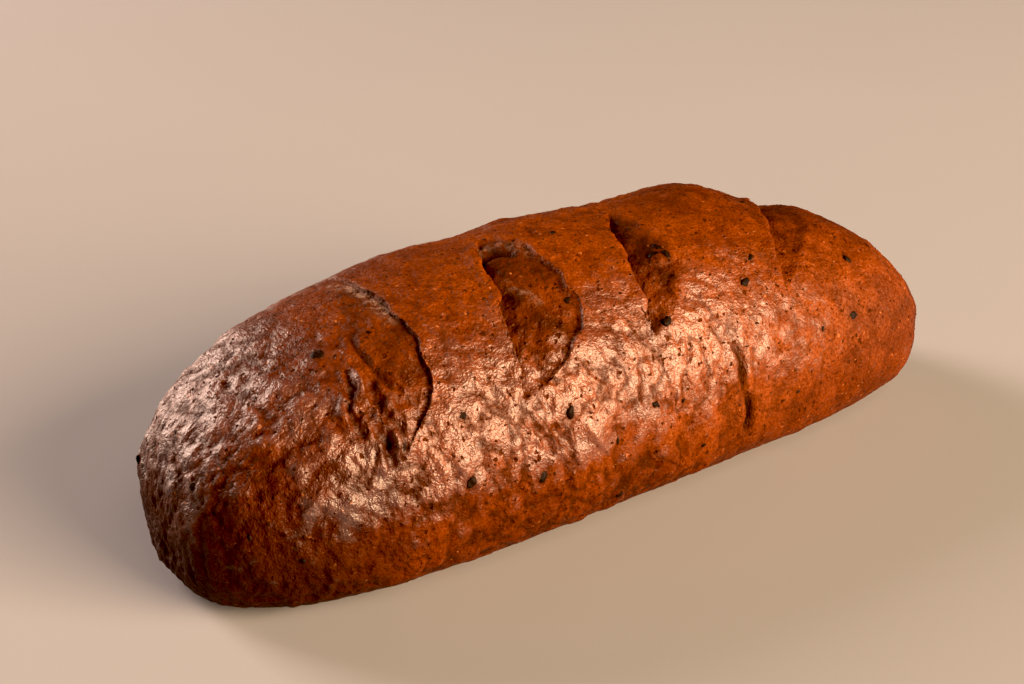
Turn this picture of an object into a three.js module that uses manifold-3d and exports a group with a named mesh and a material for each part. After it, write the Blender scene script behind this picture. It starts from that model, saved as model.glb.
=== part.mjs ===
// A bloomer loaf, baked free on its flat base: one long rounded bar of malted
// bread with four slanting slashes over its top and whole kernels in its crust.
// Millimetres, +Z up. X runs along the loaf, and the slashes open towards -Y.
// A place on the crust is given by x and by its girth, the distance over the
// crust from the ridge, which is positive on the -Y side.
import * as THREE from 'three';
import { mergeVertices } from 'three/addons/utils/BufferGeometryUtils.js';
import { SimplexNoise } from 'three/addons/math/SimplexNoise.js';
import Module from 'manifold-3d';

// Plain form
const NEAR_HALF = 155; // from the fullest section to the tip at -X
const FAR_HALF = 161; // from the fullest section to the tip at +X
const LOAF_WIDTH = 122;
const LOAF_HEIGHT = 88;
const BELLY_HEIGHT = 35; // level at which the fullest section is widest
const TIP_HEIGHT = 24; // level of both tips
const FOOT_SINK = 4; // how far the section would run below the base if it were not flat
const FRONT_ROUNDING = { near: 3.0, far: 4.4 }; // in plan: a higher power is a blunter end
const BACK_ROUNDING = { near: 3.0, far: 3.5 };
const CREST_ROUNDING = { near: 2.5, far: 2.55 };
const FOOT_ROUNDING = { near: 6.0, far: 6.0 };
const TOP_POWER = 2.18; // 2 is an ellipse, more is squarer
const FOOT_POWER = 3.0;

// Swellings and hollows of the crust, each leaning as the slashes do
const LOBES = [
  { x: -118, girth: -10, reach: 26, spread: 50, rise: 0.8 },
  { x: -62, girth: -18, reach: 18, spread: 40, rise: 1.6 },
  { x: -7, girth: -18, reach: 18, spread: 40, rise: 1.4 },
  { x: 68, girth: -14, reach: 20, spread: 34, rise: 3.6 },
  { x: 102, girth: -12, reach: 15, spread: 34, rise: -2.5 },
  { x: 132, girth: -24, reach: 22, spread: 30, rise: -2.0 },
  { x: -80, girth: 70, reach: 15, spread: 18, rise: 0.9 },
  { x: -22, girth: 68, reach: 17, spread: 18, rise: 0.9 },
  { x: -112, girth: 48, reach: 9, spread: 14, rise: 0.8 },
];
const LOBE_LEAN = 0.35; // shift along X for each millimetre of girth

// Slashes, from the upper end of a cut, on or behind the ridge, to its low end in front.
// An edge runs through places [x, girth], and depth is the floor's beside each edge.
const SLASHES = [
  {
    top: [-78, -34],
    low: [-103, 62],
    left: [[-92, -12], [-100, 12], [-103, 36]],
    right: [[-79.5, -8], [-80, 20], [-82.5, 38], [-89, 51]],
    depth: { left: 1.2, right: 3.2 },
    wall: 3.0,
  },
  {
    top: [-28, -12],
    low: [-58, 63],
    left: [[-38, 1], [-43, 12], [-46.5, 26], [-53, 41], [-54.5, 53]],
    right: [[-21.5, 0], [-20.5, 15], [-21.5, 30], [-24.5, 43], [-33, 52], [-45, 59]],
    depth: { left: 4.8, right: 3.0 },
    wall: 3.0,
  },
  {
    top: [27, -7],
    low: [-1, 60],
    left: [[18, 3], [11, 16], [5.5, 30], [1.5, 44]],
    right: [[31, 8], [30.5, 20], [27.5, 31], [21, 43], [11, 53]],
    depth: { left: 4.8, right: 3.0 },
    wall: 3.0,
  },
  {
    top: [125, -34],
    low: [61, 57],
    left: [[104, -11], [88, 11], [72, 34]],
    right: [[123, -11], [110, 11], [91, 34]],
    depth: { left: 5.2, right: 3.6 },
    wall: 4.5,
  },
];
const SLASH_FULL_HALF = 9; // half width at which a slash is at its deepest
const NARROWEST = 0.1;
const SLASH_END = 0.03; // share of its length over which a slash runs out
const LIP_RISE = 0.7;
const LIP_OFFSET = 2.5; // from the slash's edge to the top of the lip
const LIP_SPREAD = 3.5;

// Splits and folds of the side crust
const CREASES = [
  { from: { x: 30, girth: 64 }, to: { x: 34, girth: 104 }, spread: 2.6, depth: 1.6 },
  { from: { x: -54, girth: 66 }, to: { x: -40, girth: 98 }, spread: 3.0, depth: 1.4 },
  { from: { x: -62, girth: 68 }, to: { x: -58, girth: 92 }, spread: 3.0, depth: 0.9 },
  { from: { x: -104, girth: 64 }, to: { x: -72, girth: 98 }, spread: 3.0, depth: 1.2 },
  { from: { x: -118, girth: 62 }, to: { x: -88, girth: 98 }, spread: 3.0, depth: 1.2 },
  { from: { x: -2, girth: 64 }, to: { x: 6, girth: 90 }, spread: 3.0, depth: 0.8 },
  { from: { x: -104, girth: 26 }, to: { x: -110, girth: 46 }, spread: 2.4, depth: 1.6 },
  { from: { x: -100, girth: 36 }, to: { x: -103, girth: 58 }, spread: 2.4, depth: 1.4 },
];

// Crags: the near end is the rougher one
const CRAG_SEED = 41;
const CRAG_SIZE = 13;
const CRAG_RISE = 0.45;
const NEAR_CRAG_RISE = 1.1;
const NEAR_CRAG_START = -85; // where the rough end begins
const NEAR_CRAG_FULL = -130; // where it is roughest
const FOOT_CALM = { from: 2, to: 14 }; // heights over which the relief comes in
const TIP_CALM = { from: 1.0, to: 0.94 }; // shares of the half length, for slashes and lobes

// Kernels baked into the crust
const KERNEL_SEED = 23;
const KERNEL_COUNT = 40;
const KERNEL_SPACING = 21;
const KERNEL_LOWEST = 16; // no kernel lower than this
const KERNEL_LENGTH = { largest: 6.5, smallest: 4.2 };
const KERNEL_WIDTH_SHARE = 0.62;
const KERNEL_THICKNESS_SHARE = 0.5;
const KERNEL_SINK_SHARE = 0.12; // how far its middle lies under the crust
const KERNEL_TRIES = 4000;

// Facets
const RINGS = 76;
const RING_STEPS = 54; // from the back foot over the ridge to the front foot
const RING_SLANT = 22; // shift along X of a ring's feet, so that rings run as the slashes do
const FAR_RING_SLANT = 64; // the last slash slants more
const FAR_SLANT_SHARES = { from: 0.1, to: 0.7 };
const SLANT_FADE = 1.5; // power by which the rings come upright towards the tips
const SLASH_FINENESS = 1.4; // extra rings where a slash is
const SLASH_REACH = 17;
const TIP_FINENESS = 1.0;
const TIP_REACH = 0.1; // share of the half length
const TIP_CROWDING = 0.98; // 1 would crowd the rings at the tips without limit
const STATION_SAMPLES = 4000;
const GIRTH_STEPS = 32;
const MERGE_DISTANCE = 1e-3;

const CRUST_COLOUR = 0xa8521f;
const CRUST_ROUGHNESS = 0.55;

const RIDGE_ANGLE = Math.PI / 2;
const FULLEST_X = (NEAR_HALF - FAR_HALF) / 2;
const { clamp, lerp, smoothstep, seededRandom } = THREE.MathUtils;

function signedPower(value, power) {
  return Math.sign(value) * Math.pow(Math.abs(value), power);
}

function bell(distance) {
  return Math.exp(-distance * distance);
}

// A step from 0 at one value to 1 at another, whichever is the larger.
function easeFrom(start, end, value) {
  return smoothstep((value - start) / (end - start), 0, 1);
}

// How full a half is at a share of its length: 1 in the middle, 0 at the tip.
function endFullness(share, rounding) {
  const power = share < 0 ? rounding.near : rounding.far;
  return Math.pow(Math.max(0, 1 - Math.pow(Math.abs(share), power)), 1 / power);
}

function sectionAt(share) {
  const crest = endFullness(share, CREST_ROUNDING);
  return {
    x: FULLEST_X + share * (share < 0 ? NEAR_HALF : FAR_HALF),
    front: (LOAF_WIDTH / 2) * endFullness(share, FRONT_ROUNDING),
    back: (LOAF_WIDTH / 2) * endFullness(share, BACK_ROUNDING),
    top: lerp(TIP_HEIGHT, LOAF_HEIGHT, crest),
    belly: lerp(TIP_HEIGHT, BELLY_HEIGHT, crest),
    foot: lerp(TIP_HEIGHT, -FOOT_SINK, endFullness(share, FOOT_ROUNDING)),
  };
}

// A point of the plain form. The angle is 0 at the back, a quarter turn at the ridge.
function plainPoint(share, angle) {
  const { x, front, back, top, belly, foot } = sectionAt(share);
  const rise = Math.sin(angle);
  const across = Math.cos(angle);
  const power = 2 / (rise >= 0 ? TOP_POWER : FOOT_POWER);
  const reach = rise >= 0 ? top - belly : belly - foot;
  const y = (across < 0 ? front : back) * signedPower(across, power);
  const z = belly + reach * signedPower(rise, power);
  return new THREE.Vector3(x, y, z);
}

// How far below the level of the belly, as an angle, the section meets the base.
function footAngle(share) {
  const { belly, foot } = sectionAt(share);
  if (foot >= 0) return Math.PI / 2;
  return Math.asin(Math.pow(belly / (belly - foot), FOOT_POWER / 2));
}

function girthAt(share, angle) {
  let girth = 0;
  let last = plainPoint(share, RIDGE_ANGLE);
  for (let step = 1; step <= GIRTH_STEPS; step += 1) {
    const point = plainPoint(share, lerp(RIDGE_ANGLE, angle, step / GIRTH_STEPS));
    girth += point.distanceTo(last);
    last = point;
  }
  return angle > RIDGE_ANGLE ? girth : -girth;
}

function lobeRise(x, girth) {
  let rise = 0;
  for (const lobe of LOBES) {
    const along = x - lobe.x + LOBE_LEAN * (girth - lobe.girth);
    const across = girth - lobe.girth;
    rise += lobe.rise * bell(along / lobe.reach) * bell(across / lobe.spread);
  }
  return rise;
}

function edgeSlope(places, at) {
  const [beforeX, beforeGirth] = places[Math.max(0, at - 1)];
  const [afterX, afterGirth] = places[Math.min(places.length - 1, at + 1)];
  return (afterX - beforeX) / (afterGirth - beforeGirth);
}

// Where a smooth line through places lies along X at a girth.
function edgeLine(places, girth) {
  let step = 0;
  while (step < places.length - 2 && girth > places[step + 1][1]) step += 1;
  const [startX, startGirth] = places[step];
  const [endX, endGirth] = places[step + 1];
  const length = endGirth - startGirth;
  const run = clamp((girth - startGirth) / length, 0, 1);
  const fromStart = startX + edgeSlope(places, step) * length * run;
  const fromEnd = endX - edgeSlope(places, step + 1) * length * (1 - run);
  return lerp(fromStart, fromEnd, smoothstep(run, 0, 1));
}

// The opening of a slash at a girth: its edges along X, and how far along the slash it is.
function slashOpening({ top, low, left, right }, girth) {
  return {
    run: (girth - top[1]) / (low[1] - top[1]),
    left: edgeLine([top, ...left, low], girth),
    right: edgeLine([top, ...right, low], girth),
  };
}

function slashRise(slash, x, girth) {
  const { run, left, right } = slashOpening(slash, girth);
  const width = Math.max(right - left, NARROWEST);
  const present = easeFrom(0, SLASH_END, run) * easeFrom(1, 1 - SLASH_END, run);
  const taper = present * Math.sqrt(Math.min(1, width / 2 / SLASH_FULL_HALF));
  const beyondEdge = Math.max(left - x, x - right);
  const depth = lerp(slash.depth.left, slash.depth.right, clamp((x - left) / width, 0, 1));
  const cut = depth * easeFrom(0, -slash.wall, beyondEdge);
  const lip = LIP_RISE * bell((beyondEdge - LIP_OFFSET) / LIP_SPREAD);
  return taper * (lip - cut);
}

function creaseRise(crease, x, girth) {
  const place = new THREE.Vector3(x, girth, 0);
  const line = new THREE.Line3(
    new THREE.Vector3(crease.from.x, crease.from.girth, 0),
    new THREE.Vector3(crease.to.x, crease.to.girth, 0),
  );
  const nearest = line.closestPointToPoint(place, true, new THREE.Vector3());
  return -crease.depth * bell(place.distanceTo(nearest) / crease.spread);
}

function makeCrags() {
  seededRandom(CRAG_SEED);
  const noise = new SimplexNoise({ random: () => seededRandom() });
  return (point) => {
    const roughness = easeFrom(NEAR_CRAG_START, NEAR_CRAG_FULL, point.x);
    const place = point.clone().divideScalar(CRAG_SIZE);
    return lerp(CRAG_RISE, NEAR_CRAG_RISE, roughness) * noise.noise3d(place.x, place.y, place.z);
  };
}

// Everything that lifts or lowers the crust off the plain form, along its normal.
function makeRelief() {
  const crags = makeCrags();
  return (point, share, girth) => {
    let shaped = lobeRise(point.x, girth);
    for (const slash of SLASHES) shaped += slashRise(slash, point.x, girth);
    for (const crease of CREASES) shaped += creaseRise(crease, point.x, girth);
    shaped *= easeFrom(TIP_CALM.from, TIP_CALM.to, Math.abs(share));
    return (shaped + crags(point)) * easeFrom(FOOT_CALM.from, FOOT_CALM.to, point.z);
  };
}

// Places of the rings on the ridge, closer together at the slashes and the tips.
function ringShares() {
  const weight = (share) => {
    const { x } = sectionAt(share);
    let fineness = 1 + TIP_FINENESS * bell((1 - Math.abs(share)) / TIP_REACH);
    for (const slash of SLASHES) {
      const { left, right } = slashOpening(slash, 0);
      fineness += SLASH_FINENESS * bell((x - (left + right) / 2) / SLASH_REACH);
    }
    return fineness / Math.sqrt(1 - TIP_CROWDING * share * share);
  };
  const total = [0];
  for (let sample = 0; sample < STATION_SAMPLES; sample += 1) {
    total.push(total[sample] + weight(lerp(-1, 1, (sample + 0.5) / STATION_SAMPLES)));
  }
  const shares = [];
  let sample = 0;
  for (let ring = 1; ring < RINGS; ring += 1) {
    while (total[sample] < (total[STATION_SAMPLES] * ring) / RINGS) sample += 1;
    shares.push(lerp(-1, 1, sample / STATION_SAMPLES));
  }
  return shares;
}

// A ring leans towards -X in front and +X behind, and stands upright at the tips.
function leaningShare(share, angle) {
  const towardsFront = Math.sin(clamp(angle - RIDGE_ANGLE, -RIDGE_ANGLE, RIDGE_ANGLE));
  const farness = easeFrom(FAR_SLANT_SHARES.from, FAR_SLANT_SHARES.to, share);
  const slant = lerp(RING_SLANT, FAR_RING_SLANT, farness) * Math.pow(1 - share * share, SLANT_FADE);
  return share - (slant / NEAR_HALF) * towardsFront;
}

// Shares and angles of one ring, from its back foot over the ridge to its front foot.
function ringPlaces(ridgeShare) {
  const backFoot = -footAngle(leaningShare(ridgeShare, 0));
  const frontFoot = Math.PI + footAngle(leaningShare(ridgeShare, Math.PI));
  const places = [];
  for (let step = 0; step <= RING_STEPS; step += 1) {
    const run = (2 * step) / RING_STEPS;
    const angle = run < 1 ? lerp(backFoot, RIDGE_ANGLE, run) : lerp(RIDGE_ANGLE, frontFoot, run - 1);
    places.push({ share: leaningShare(ridgeShare, angle), angle });
  }
  return places;
}

// Triangles of a grid of rings with a tip at each end and a flat face below.
function gridTriangles(ringCount) {
  const perRing = RING_STEPS + 1;
  const nearTip = ringCount * perRing;
  const farTip = nearTip + 1;
  const triangles = [];
  const quad = (a, b, c, d) => triangles.push([a, b, c], [a, c, d]);
  for (let ring = 0; ring < ringCount; ring += 1) {
    const start = ring * perRing;
    for (let step = 0; step < perRing; step += 1) {
      const next = (step + 1) % perRing;
      if (ring === 0) triangles.push([start + next, start + step, nearTip]);
      if (ring === ringCount - 1) triangles.push([start + step, start + next, farTip]);
      else quad(start + step, start + next, start + perRing + next, start + perRing + step);
    }
  }
  return triangles;
}

function closedGeometry(points, triangles) {
  const loose = new THREE.BufferGeometry().setFromPoints(points);
  loose.setIndex(triangles.flat());
  const merged = mergeVertices(loose, MERGE_DISTANCE);
  const index = merged.getIndex().array;
  const kept = [];
  for (let at = 0; at < index.length; at += 3) {
    const [a, b, c] = index.slice(at, at + 3);
    if (a !== b && b !== c && c !== a) kept.push(a, b, c);
  }
  merged.setIndex(kept);
  return merged;
}

function makeCrust() {
  const places = ringShares().flatMap(ringPlaces);
  places.push({ share: -1, angle: RIDGE_ANGLE }, { share: 1, angle: RIDGE_ANGLE });
  const points = places.map(({ share, angle }) => plainPoint(share, angle));
  const triangles = gridTriangles(RINGS - 1);
  const plain = new THREE.BufferGeometry().setFromPoints(points);
  plain.setIndex(triangles.flat());
  plain.computeVertexNormals();
  const normals = plain.getAttribute('normal');
  const relief = makeRelief();
  points.forEach((point, at) => {
    const { share, angle } = places[at];
    const normal = new THREE.Vector3().fromBufferAttribute(normals, at);
    point.addScaledVector(normal, relief(point, share, girthAt(share, angle)));
    point.z = Math.max(0, point.z);
  });
  return closedGeometry(points, triangles);
}

// Places spread over the crust: vertices drawn at random that keep their distance.
function kernelPlaces(crust) {
  seededRandom(KERNEL_SEED);
  crust.computeVertexNormals();
  const positions = crust.getAttribute('position');
  const normals = crust.getAttribute('normal');
  const places = [];
  for (let draw = 0; draw < KERNEL_TRIES && places.length < KERNEL_COUNT; draw += 1) {
    const vertex = Math.floor(seededRandom() * positions.count);
    const point = new THREE.Vector3().fromBufferAttribute(positions, vertex);
    const normal = new THREE.Vector3().fromBufferAttribute(normals, vertex);
    const crowded = places.some((other) => other.point.distanceTo(point) < KERNEL_SPACING);
    if (point.z > KERNEL_LOWEST && !crowded) {
      places.push({ point, normal, turn: seededRandom() * Math.PI });
    }
  }
  return places;
}

// One kernel: a flattened egg lying in the crust, the first ones the largest.
function makeKernel({ point, normal, turn }, order) {
  const length = lerp(KERNEL_LENGTH.largest, KERNEL_LENGTH.smallest, order / KERNEL_COUNT);
  const thickness = length * KERNEL_THICKNESS_SHARE;
  const kernel = new THREE.OctahedronGeometry(1, 1);
  kernel.scale(length / 2, (length * KERNEL_WIDTH_SHARE) / 2, thickness / 2);
  kernel.rotateZ(turn);
  const upright = new THREE.Vector3(0, 0, 1);
  kernel.applyQuaternion(new THREE.Quaternion().setFromUnitVectors(upright, normal));
  const middle = point.clone().addScaledVector(normal, -thickness * KERNEL_SINK_SHARE);
  kernel.translate(middle.x, middle.y, middle.z);
  return kernel;
}

function toSolid(wasm, geometry) {
  const bare = geometry.clone();
  bare.deleteAttribute('normal');
  bare.deleteAttribute('uv');
  const merged = mergeVertices(bare, MERGE_DISTANCE);
  return new wasm.Manifold(
    new wasm.Mesh({
      numProp: 3,
      vertProperties: new Float32Array(merged.getAttribute('position').array),
      triVerts: new Uint32Array(merged.getIndex().array),
    }),
  );
}

function toGeometry(solid) {
  const { vertProperties, triVerts } = solid.getMesh();
  const geometry = new THREE.BufferGeometry();
  geometry.setAttribute('position', new THREE.BufferAttribute(vertProperties, 3));
  geometry.setIndex(new THREE.BufferAttribute(triVerts, 1));
  geometry.computeVertexNormals();
  return geometry;
}

// Puts the origin under the middle of the loaf, on its base.
function standOnOrigin(geometry) {
  geometry.computeBoundingBox();
  const { min, max } = geometry.boundingBox;
  return geometry.translate(-(min.x + max.x) / 2, -(min.y + max.y) / 2, -min.z);
}

function makeLoaf(wasm) {
  const crust = makeCrust();
  let solid = toSolid(wasm, crust);
  kernelPlaces(crust).forEach((place, order) => {
    solid = solid.add(toSolid(wasm, makeKernel(place, order)));
  });
  const material = new THREE.MeshStandardMaterial({
    color: CRUST_COLOUR,
    roughness: CRUST_ROUGHNESS,
    metalness: 0,
  });
  const loaf = new THREE.Mesh(standOnOrigin(toGeometry(solid)), material);
  loaf.name = 'loaf';
  return loaf;
}

const wasm = await Module();
wasm.setup();

const bloomer = new THREE.Group();
bloomer.add(makeLoaf(wasm));

export default bloomer;
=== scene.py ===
"""A bloomer loaf of dark malted bread: its slashed crust, the kernels baked into it and its bran."""

import math
from typing import NamedTuple

import bmesh
import bpy
import numpy as np
from mathutils import Matrix, Vector


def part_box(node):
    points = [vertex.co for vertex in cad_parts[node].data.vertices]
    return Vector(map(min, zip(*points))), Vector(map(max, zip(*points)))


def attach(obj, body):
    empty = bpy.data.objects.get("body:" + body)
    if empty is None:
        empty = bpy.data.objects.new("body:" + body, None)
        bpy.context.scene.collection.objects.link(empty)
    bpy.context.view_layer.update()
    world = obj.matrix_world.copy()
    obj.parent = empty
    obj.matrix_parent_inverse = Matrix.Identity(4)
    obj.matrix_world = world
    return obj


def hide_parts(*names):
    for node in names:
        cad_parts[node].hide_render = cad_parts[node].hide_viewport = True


bl_info = {
    "name": "Bloomer loaf",
    "version": (1, 0, 0),
    "blender": (4, 5, 0),
    "location": "3D View > Sidebar > Bloomer",
    "description": "Builds a slashed bloomer loaf with kernels and bran in its crust",
    "category": "Object",
}

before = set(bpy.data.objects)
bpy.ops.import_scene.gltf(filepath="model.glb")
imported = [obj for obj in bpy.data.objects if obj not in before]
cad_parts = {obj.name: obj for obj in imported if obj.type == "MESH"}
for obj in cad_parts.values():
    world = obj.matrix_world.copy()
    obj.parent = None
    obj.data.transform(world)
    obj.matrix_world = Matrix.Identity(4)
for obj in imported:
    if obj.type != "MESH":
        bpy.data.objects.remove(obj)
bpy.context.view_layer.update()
LOAF_LOW, LOAF_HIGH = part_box("loaf")

# The form is worked out in millimetres and made in metres.
# A place on the crust is given by x and by its girth, the distance over the crust
# from the ridge, which is positive on the -Y side.
MM = 0.001

# Plain form
CRAGS_PROUD = Vector((0.8, 1.7, 1.5)) * MM  # how far relief stands out of the plain form's box
PLAIN_SIZE = LOAF_HIGH - LOAF_LOW - CRAGS_PROUD
NEAR_SHARE = 155.0 / 316.0  # share of the length from the near tip to the fullest section
FOOT_SINK = 4.0  # how far the section would run below the base if it were not flat
FRONT_ROUNDING = (3.0, 4.4)  # near and far: a higher power is a blunter end
BACK_ROUNDING = (3.0, 3.5)
CREST_ROUNDING = (2.5, 2.55)
FOOT_ROUNDING = (6.0, 6.0)
TOP_POWER = 2.18  # 2 is an ellipse, more is squarer
FOOT_POWER = 3.0
RIDGE_ANGLE = math.pi / 2

# Grid
RINGS = 366
RING_STEPS = 258
RING_SLANT = 22.0  # shift along X of a ring's feet, so that rings run as the slashes do
FAR_RING_SLANT = 64.0
FAR_SLANT_SHARES = (0.1, 0.7)
SLANT_FADE = 1.5
SLASH_FINENESS = 0.35
SLASH_REACH = 17.0
STATION_SAMPLES = 6000
GIRTH_STEPS = 24
MERGE_DISTANCE = 1e-7

# Relief fades out towards the base, and slashes and lobes towards the tips
FOOT_CALM = (1.0, 9.0)
TIP_CALM = (1.0, 0.94)

# Where the crust is rough, and where it is uneven
NEAR_ROUGH = (-85.0, -130.0)  # where the rough near end begins, and where it is roughest
FAR_ROUGH = (135.0, 158.0)
FAR_ROUGH_SHARE = 0.5
SIDE_UNEVEN = (30.0, 60.0)  # girths between which the crust becomes as uneven as the sides
SIDE_UNEVEN_SHARE = 0.9
FAR_UNEVEN = (0.0, 60.0)  # along X, where the sides become as even as the far end
FAR_UNEVEN_SHARE = 0.5
TOP_UNEVEN_SHARE = 0.46
NEAR_UNEVEN_SHARE = 0.85

# Where shade is painted into the crust's colour
LOW_TONE = (60.0, 12.0)  # heights between which painted shade darkens it towards the base
TIP_LOW = 0.5
FAR_TONE = (40.0, 110.0)  # along X, where painted shade darkens it towards the far end
FAR_TONE_SHARE = 0.5
NEAR_TONE = (-15.0, -75.0)
NEAR_TONE_SHARE = 0.5

# Where the crust is glossy
GLAZE_GIRTH = 60.0  # girth at which most of it is glossy
GLAZE_SPREAD = 32.0
GLAZE_HEIGHTS = (14.0, 46.0)
NEAR_GLAZE = 0.75
NEAR_FOOT_DULL = 0.85  # how much gloss the near end loses at its foot
NEAR_TIP_GLAZE = 0.3
FAR_DULL = (125.0, -5.0)  # along X, where the far end is dull and where its gloss is full

# No cut runs dead straight: it follows two small waves
LONG_WAVE = 0.55
LONG_WAVE_GIRTH = 3.1
LONG_WAVE_BEND = 0.8
LONG_WAVE_X = 7.0
SHORT_WAVE = 0.3
SHORT_WAVE_GIRTH = 1.5
SHORT_WAVE_X = 3.7


class Lobe(NamedTuple):
    """A swelling or hollow of the crest, which leans as the slashes do."""

    x: float
    girth: float
    reach: float
    spread: float
    rise: float


LOBE_LEAN = 0.35
LOBES = (
    Lobe(-118, -10, 26, 50, 0.8),
    Lobe(-62, -18, 18, 40, 1.6),
    Lobe(-7, -18, 18, 40, 1.4),
    Lobe(68, -14, 20, 34, 3.6),
    Lobe(102, -12, 15, 34, -2.5),
    Lobe(132, -24, 22, 30, -2.0),
    Lobe(-80, 70, 15, 18, 0.9),
    Lobe(-22, 68, 17, 18, 0.9),
    Lobe(-112, 48, 9, 14, 0.8),
)


class Edge(NamedTuple):
    """One side of a slash: how deep and wide its wall is, and how its crust lifts and hangs over."""

    depth: float
    wall: float
    gap: float  # how much deeper the floor is just under the rim
    lip: float
    overhang: float


class Slash(NamedTuple):
    """A cut over the ridge: its two ends, and places along its edges from the upper end to the low one."""

    top: tuple
    low: tuple
    left: tuple
    right: tuple
    tone: float  # how much its floor takes the colour of a slash
    left_edge: Edge
    right_edge: Edge


SLASH_FULL_HALF = 9.0  # half width at which a slash is at its deepest
SLASH_LEAST_HALF = 1e-3
SLASH_END = 0.04
SLOPE_STEP = 0.5  # girth over which an edge's slope is taken
STEEPEST_SLOPE = 3.0
GAP_REACH = 1.6
GAP_SHADE = 1.8
GAP_DARKNESS = 1.3
FLOOR_BULGE = 0.5
FLOOR_FADE = (0.97, 0.74)  # towards its low end a slash's floor takes the colour of the crust
FLOOR_TAPER = (0.0, 0.35)  # and where the slash is narrow
LIP_OFFSET = 1.4
LIP_SPREAD = 2.2
OVER_REACH = 1.2
UNDER_REACH = 0.7
UNDER_SHARE = 0.6  # how far the wall draws back under the rim, in overhangs
MAGNET_REACH = 3.0  # within this of a slash's edge, points are drawn to it
MAGNET_POWER = 1.8
MAGNET_HALVES = (0.3, 1.2)  # half widths, in reaches, between which the pull grows
SLASHES = (
    Slash((-78, -34), (-103, 62),
          ((-92, -12), (-100, 12), (-103, 36)),
          ((-79.5, -8), (-80, 20), (-82.5, 38), (-89, 51)),
          0.7, Edge(0.6, 9.0, 0.0, 0.0, 0.0), Edge(0.8, 0.5, 0.7, 0.35, 0.4)),
    Slash((-28, -12), (-58, 63),
          ((-38, 1), (-43, 12), (-46.5, 26), (-53, 41), (-54.5, 53)),
          ((-21.5, 0), (-20.5, 15), (-21.5, 30), (-24.5, 43), (-33, 52), (-45, 59)),
          1.0, Edge(3.4, 0.9, 1.2, 0.7, 0.7), Edge(1.2, 1.0, 0.4, 0.3, 0.1)),
    Slash((27, -7), (-1, 60),
          ((18, 3), (11, 16), (5.5, 30), (1.5, 44)),
          ((31, 8), (30.5, 20), (27.5, 31), (21, 43), (11, 53)),
          1.0, Edge(3.8, 0.9, 1.5, 0.6, 0.7), Edge(0.5, 6.0, 0.0, 0.0, 0.0)),
    Slash((125, -34), (61, 57),
          ((104, -11), (88, 11), (72, 34)),
          ((123, -11), (110, 11), (91, 34)),
          0.5, Edge(4.2, 2.4, 0.4, 0.7, 0.3), Edge(1.4, 4.0, 0.0, 0.0, 0.0)),
)


class Crease(NamedTuple):
    """A split or fold along a line of places. A negative depth is a raised fold."""

    places: tuple
    depth: float
    width: float
    lip: float
    # dark is how much painted shade fills the split
    dark: float
    flour: float


CREASE_POWER = 1.3  # a higher power is a sharper split
CREASE_LIP_AT = 1.6  # in widths of the crease
CREASE_FLOUR_REACH = 1.3
CREASES = (
    Crease(((-92, 13), (-96, 16), (-98, 22), (-98, 31), (-95, 40), (-92, 44)), 1.2, 1.3, 0.4, 1.0, 0.0),
    Crease(((-104, 26), (-106, 33), (-110, 39), (-109, 52)), 1.8, 1.4, 1.2, 1.0, 0.0),
    Crease(((-101, 34), (-102, 44), (-98, 52), (-100, 60)), 1.8, 1.7, 0.9, 0.9, 0.0),
    Crease(((-107, 47), (-104, 53), (-105, 62)), 1.8, 1.7, 0.9, 0.9, 0.0),
    Crease(((-39, 2), (-34, 0), (-30, 2), (-26, 7)), 3.0, 3.0, 0.4, 1.4, 0.0),
    Crease(((-35, -3), (-31, -5), (-26, -3), (-23, 2), (-22, 11)), -1.2, 1.5, 0.0, 0.0, 0.35),
    Crease(((-40, 17), (-36, 27), (-33, 34)), -0.8, 1.6, 0.0, 0.0, 0.25),
    Crease(((-25, 1), (-20, -3)), 1.6, 1.4, 0.0, 0.9, 0.0),
    Crease(((-84, -22), (-82, -8), (-82, 6), (-83, 20)), -0.4, 1.7, 0.0, 0.0, 0.8),
    Crease(((30, 66), (32, 72), (33, 82), (34, 90)), 1.6, 2.2, 0.2, 1.2, 0.0),
    Crease(((35, 88), (38, 95), (37, 105)), 3.2, 3.2, 0.4, 1.4, 0.0),
    Crease(((-49, 73), (-45, 81), (-42, 91)), 2.0, 1.4, 0.8, 0.6, 0.0),
    Crease(((-58, 66), (-52, 78), (-46, 90), (-42, 103)), 1.3, 1.4, 0.8, 0.3, 0.0),
    Crease(((-8, 98), (0, 104), (8, 110)), 0.9, 1.0, 0.3, 0.5, 0.0),
    Crease(((-5, 64), (0, 78), (4, 92)), 0.6, 1.5, 0.2, 0.2, 0.0),
)


class Patch(NamedTuple):
    """A round patch of the crust, by its middle and its two reaches."""

    x: float
    girth: float
    reach: float
    spread: float


TORN = (Patch(-106, 44, 9, 17),)  # wrinkled beside the first slash
FOLDED = (Patch(-112, 82, 34, 22), Patch(-30, 88, 75, 24))  # slanting folds low on the front
GLAZED = (Patch(-42, 80, 22, 15),)  # glossy folds below the second slash
SLASH_SHADE_PATCHES = (Patch(-42, 22, 9, 24), Patch(16, 14, 9, 16))  # painted shade on the darkest parts of the slash floors
SLASH_SHADE_SHARE = 0.45
DULLED = (Patch(-142, 42, 18, 20),)  # the front of the near tip
DULL_SHARE = 0.85
CREST_SHADE_PATCHES = (Patch(66, -6, 40, 22), Patch(110, 4, 26, 22))  # painted shade on the highest part of the crest and beyond
CREST_SHADE_SHARE = 0.5


class Seat(NamedTuple):
    """The place of a kernel or blister in the crust, and its length."""

    x: float
    girth: float
    length: float


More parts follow.
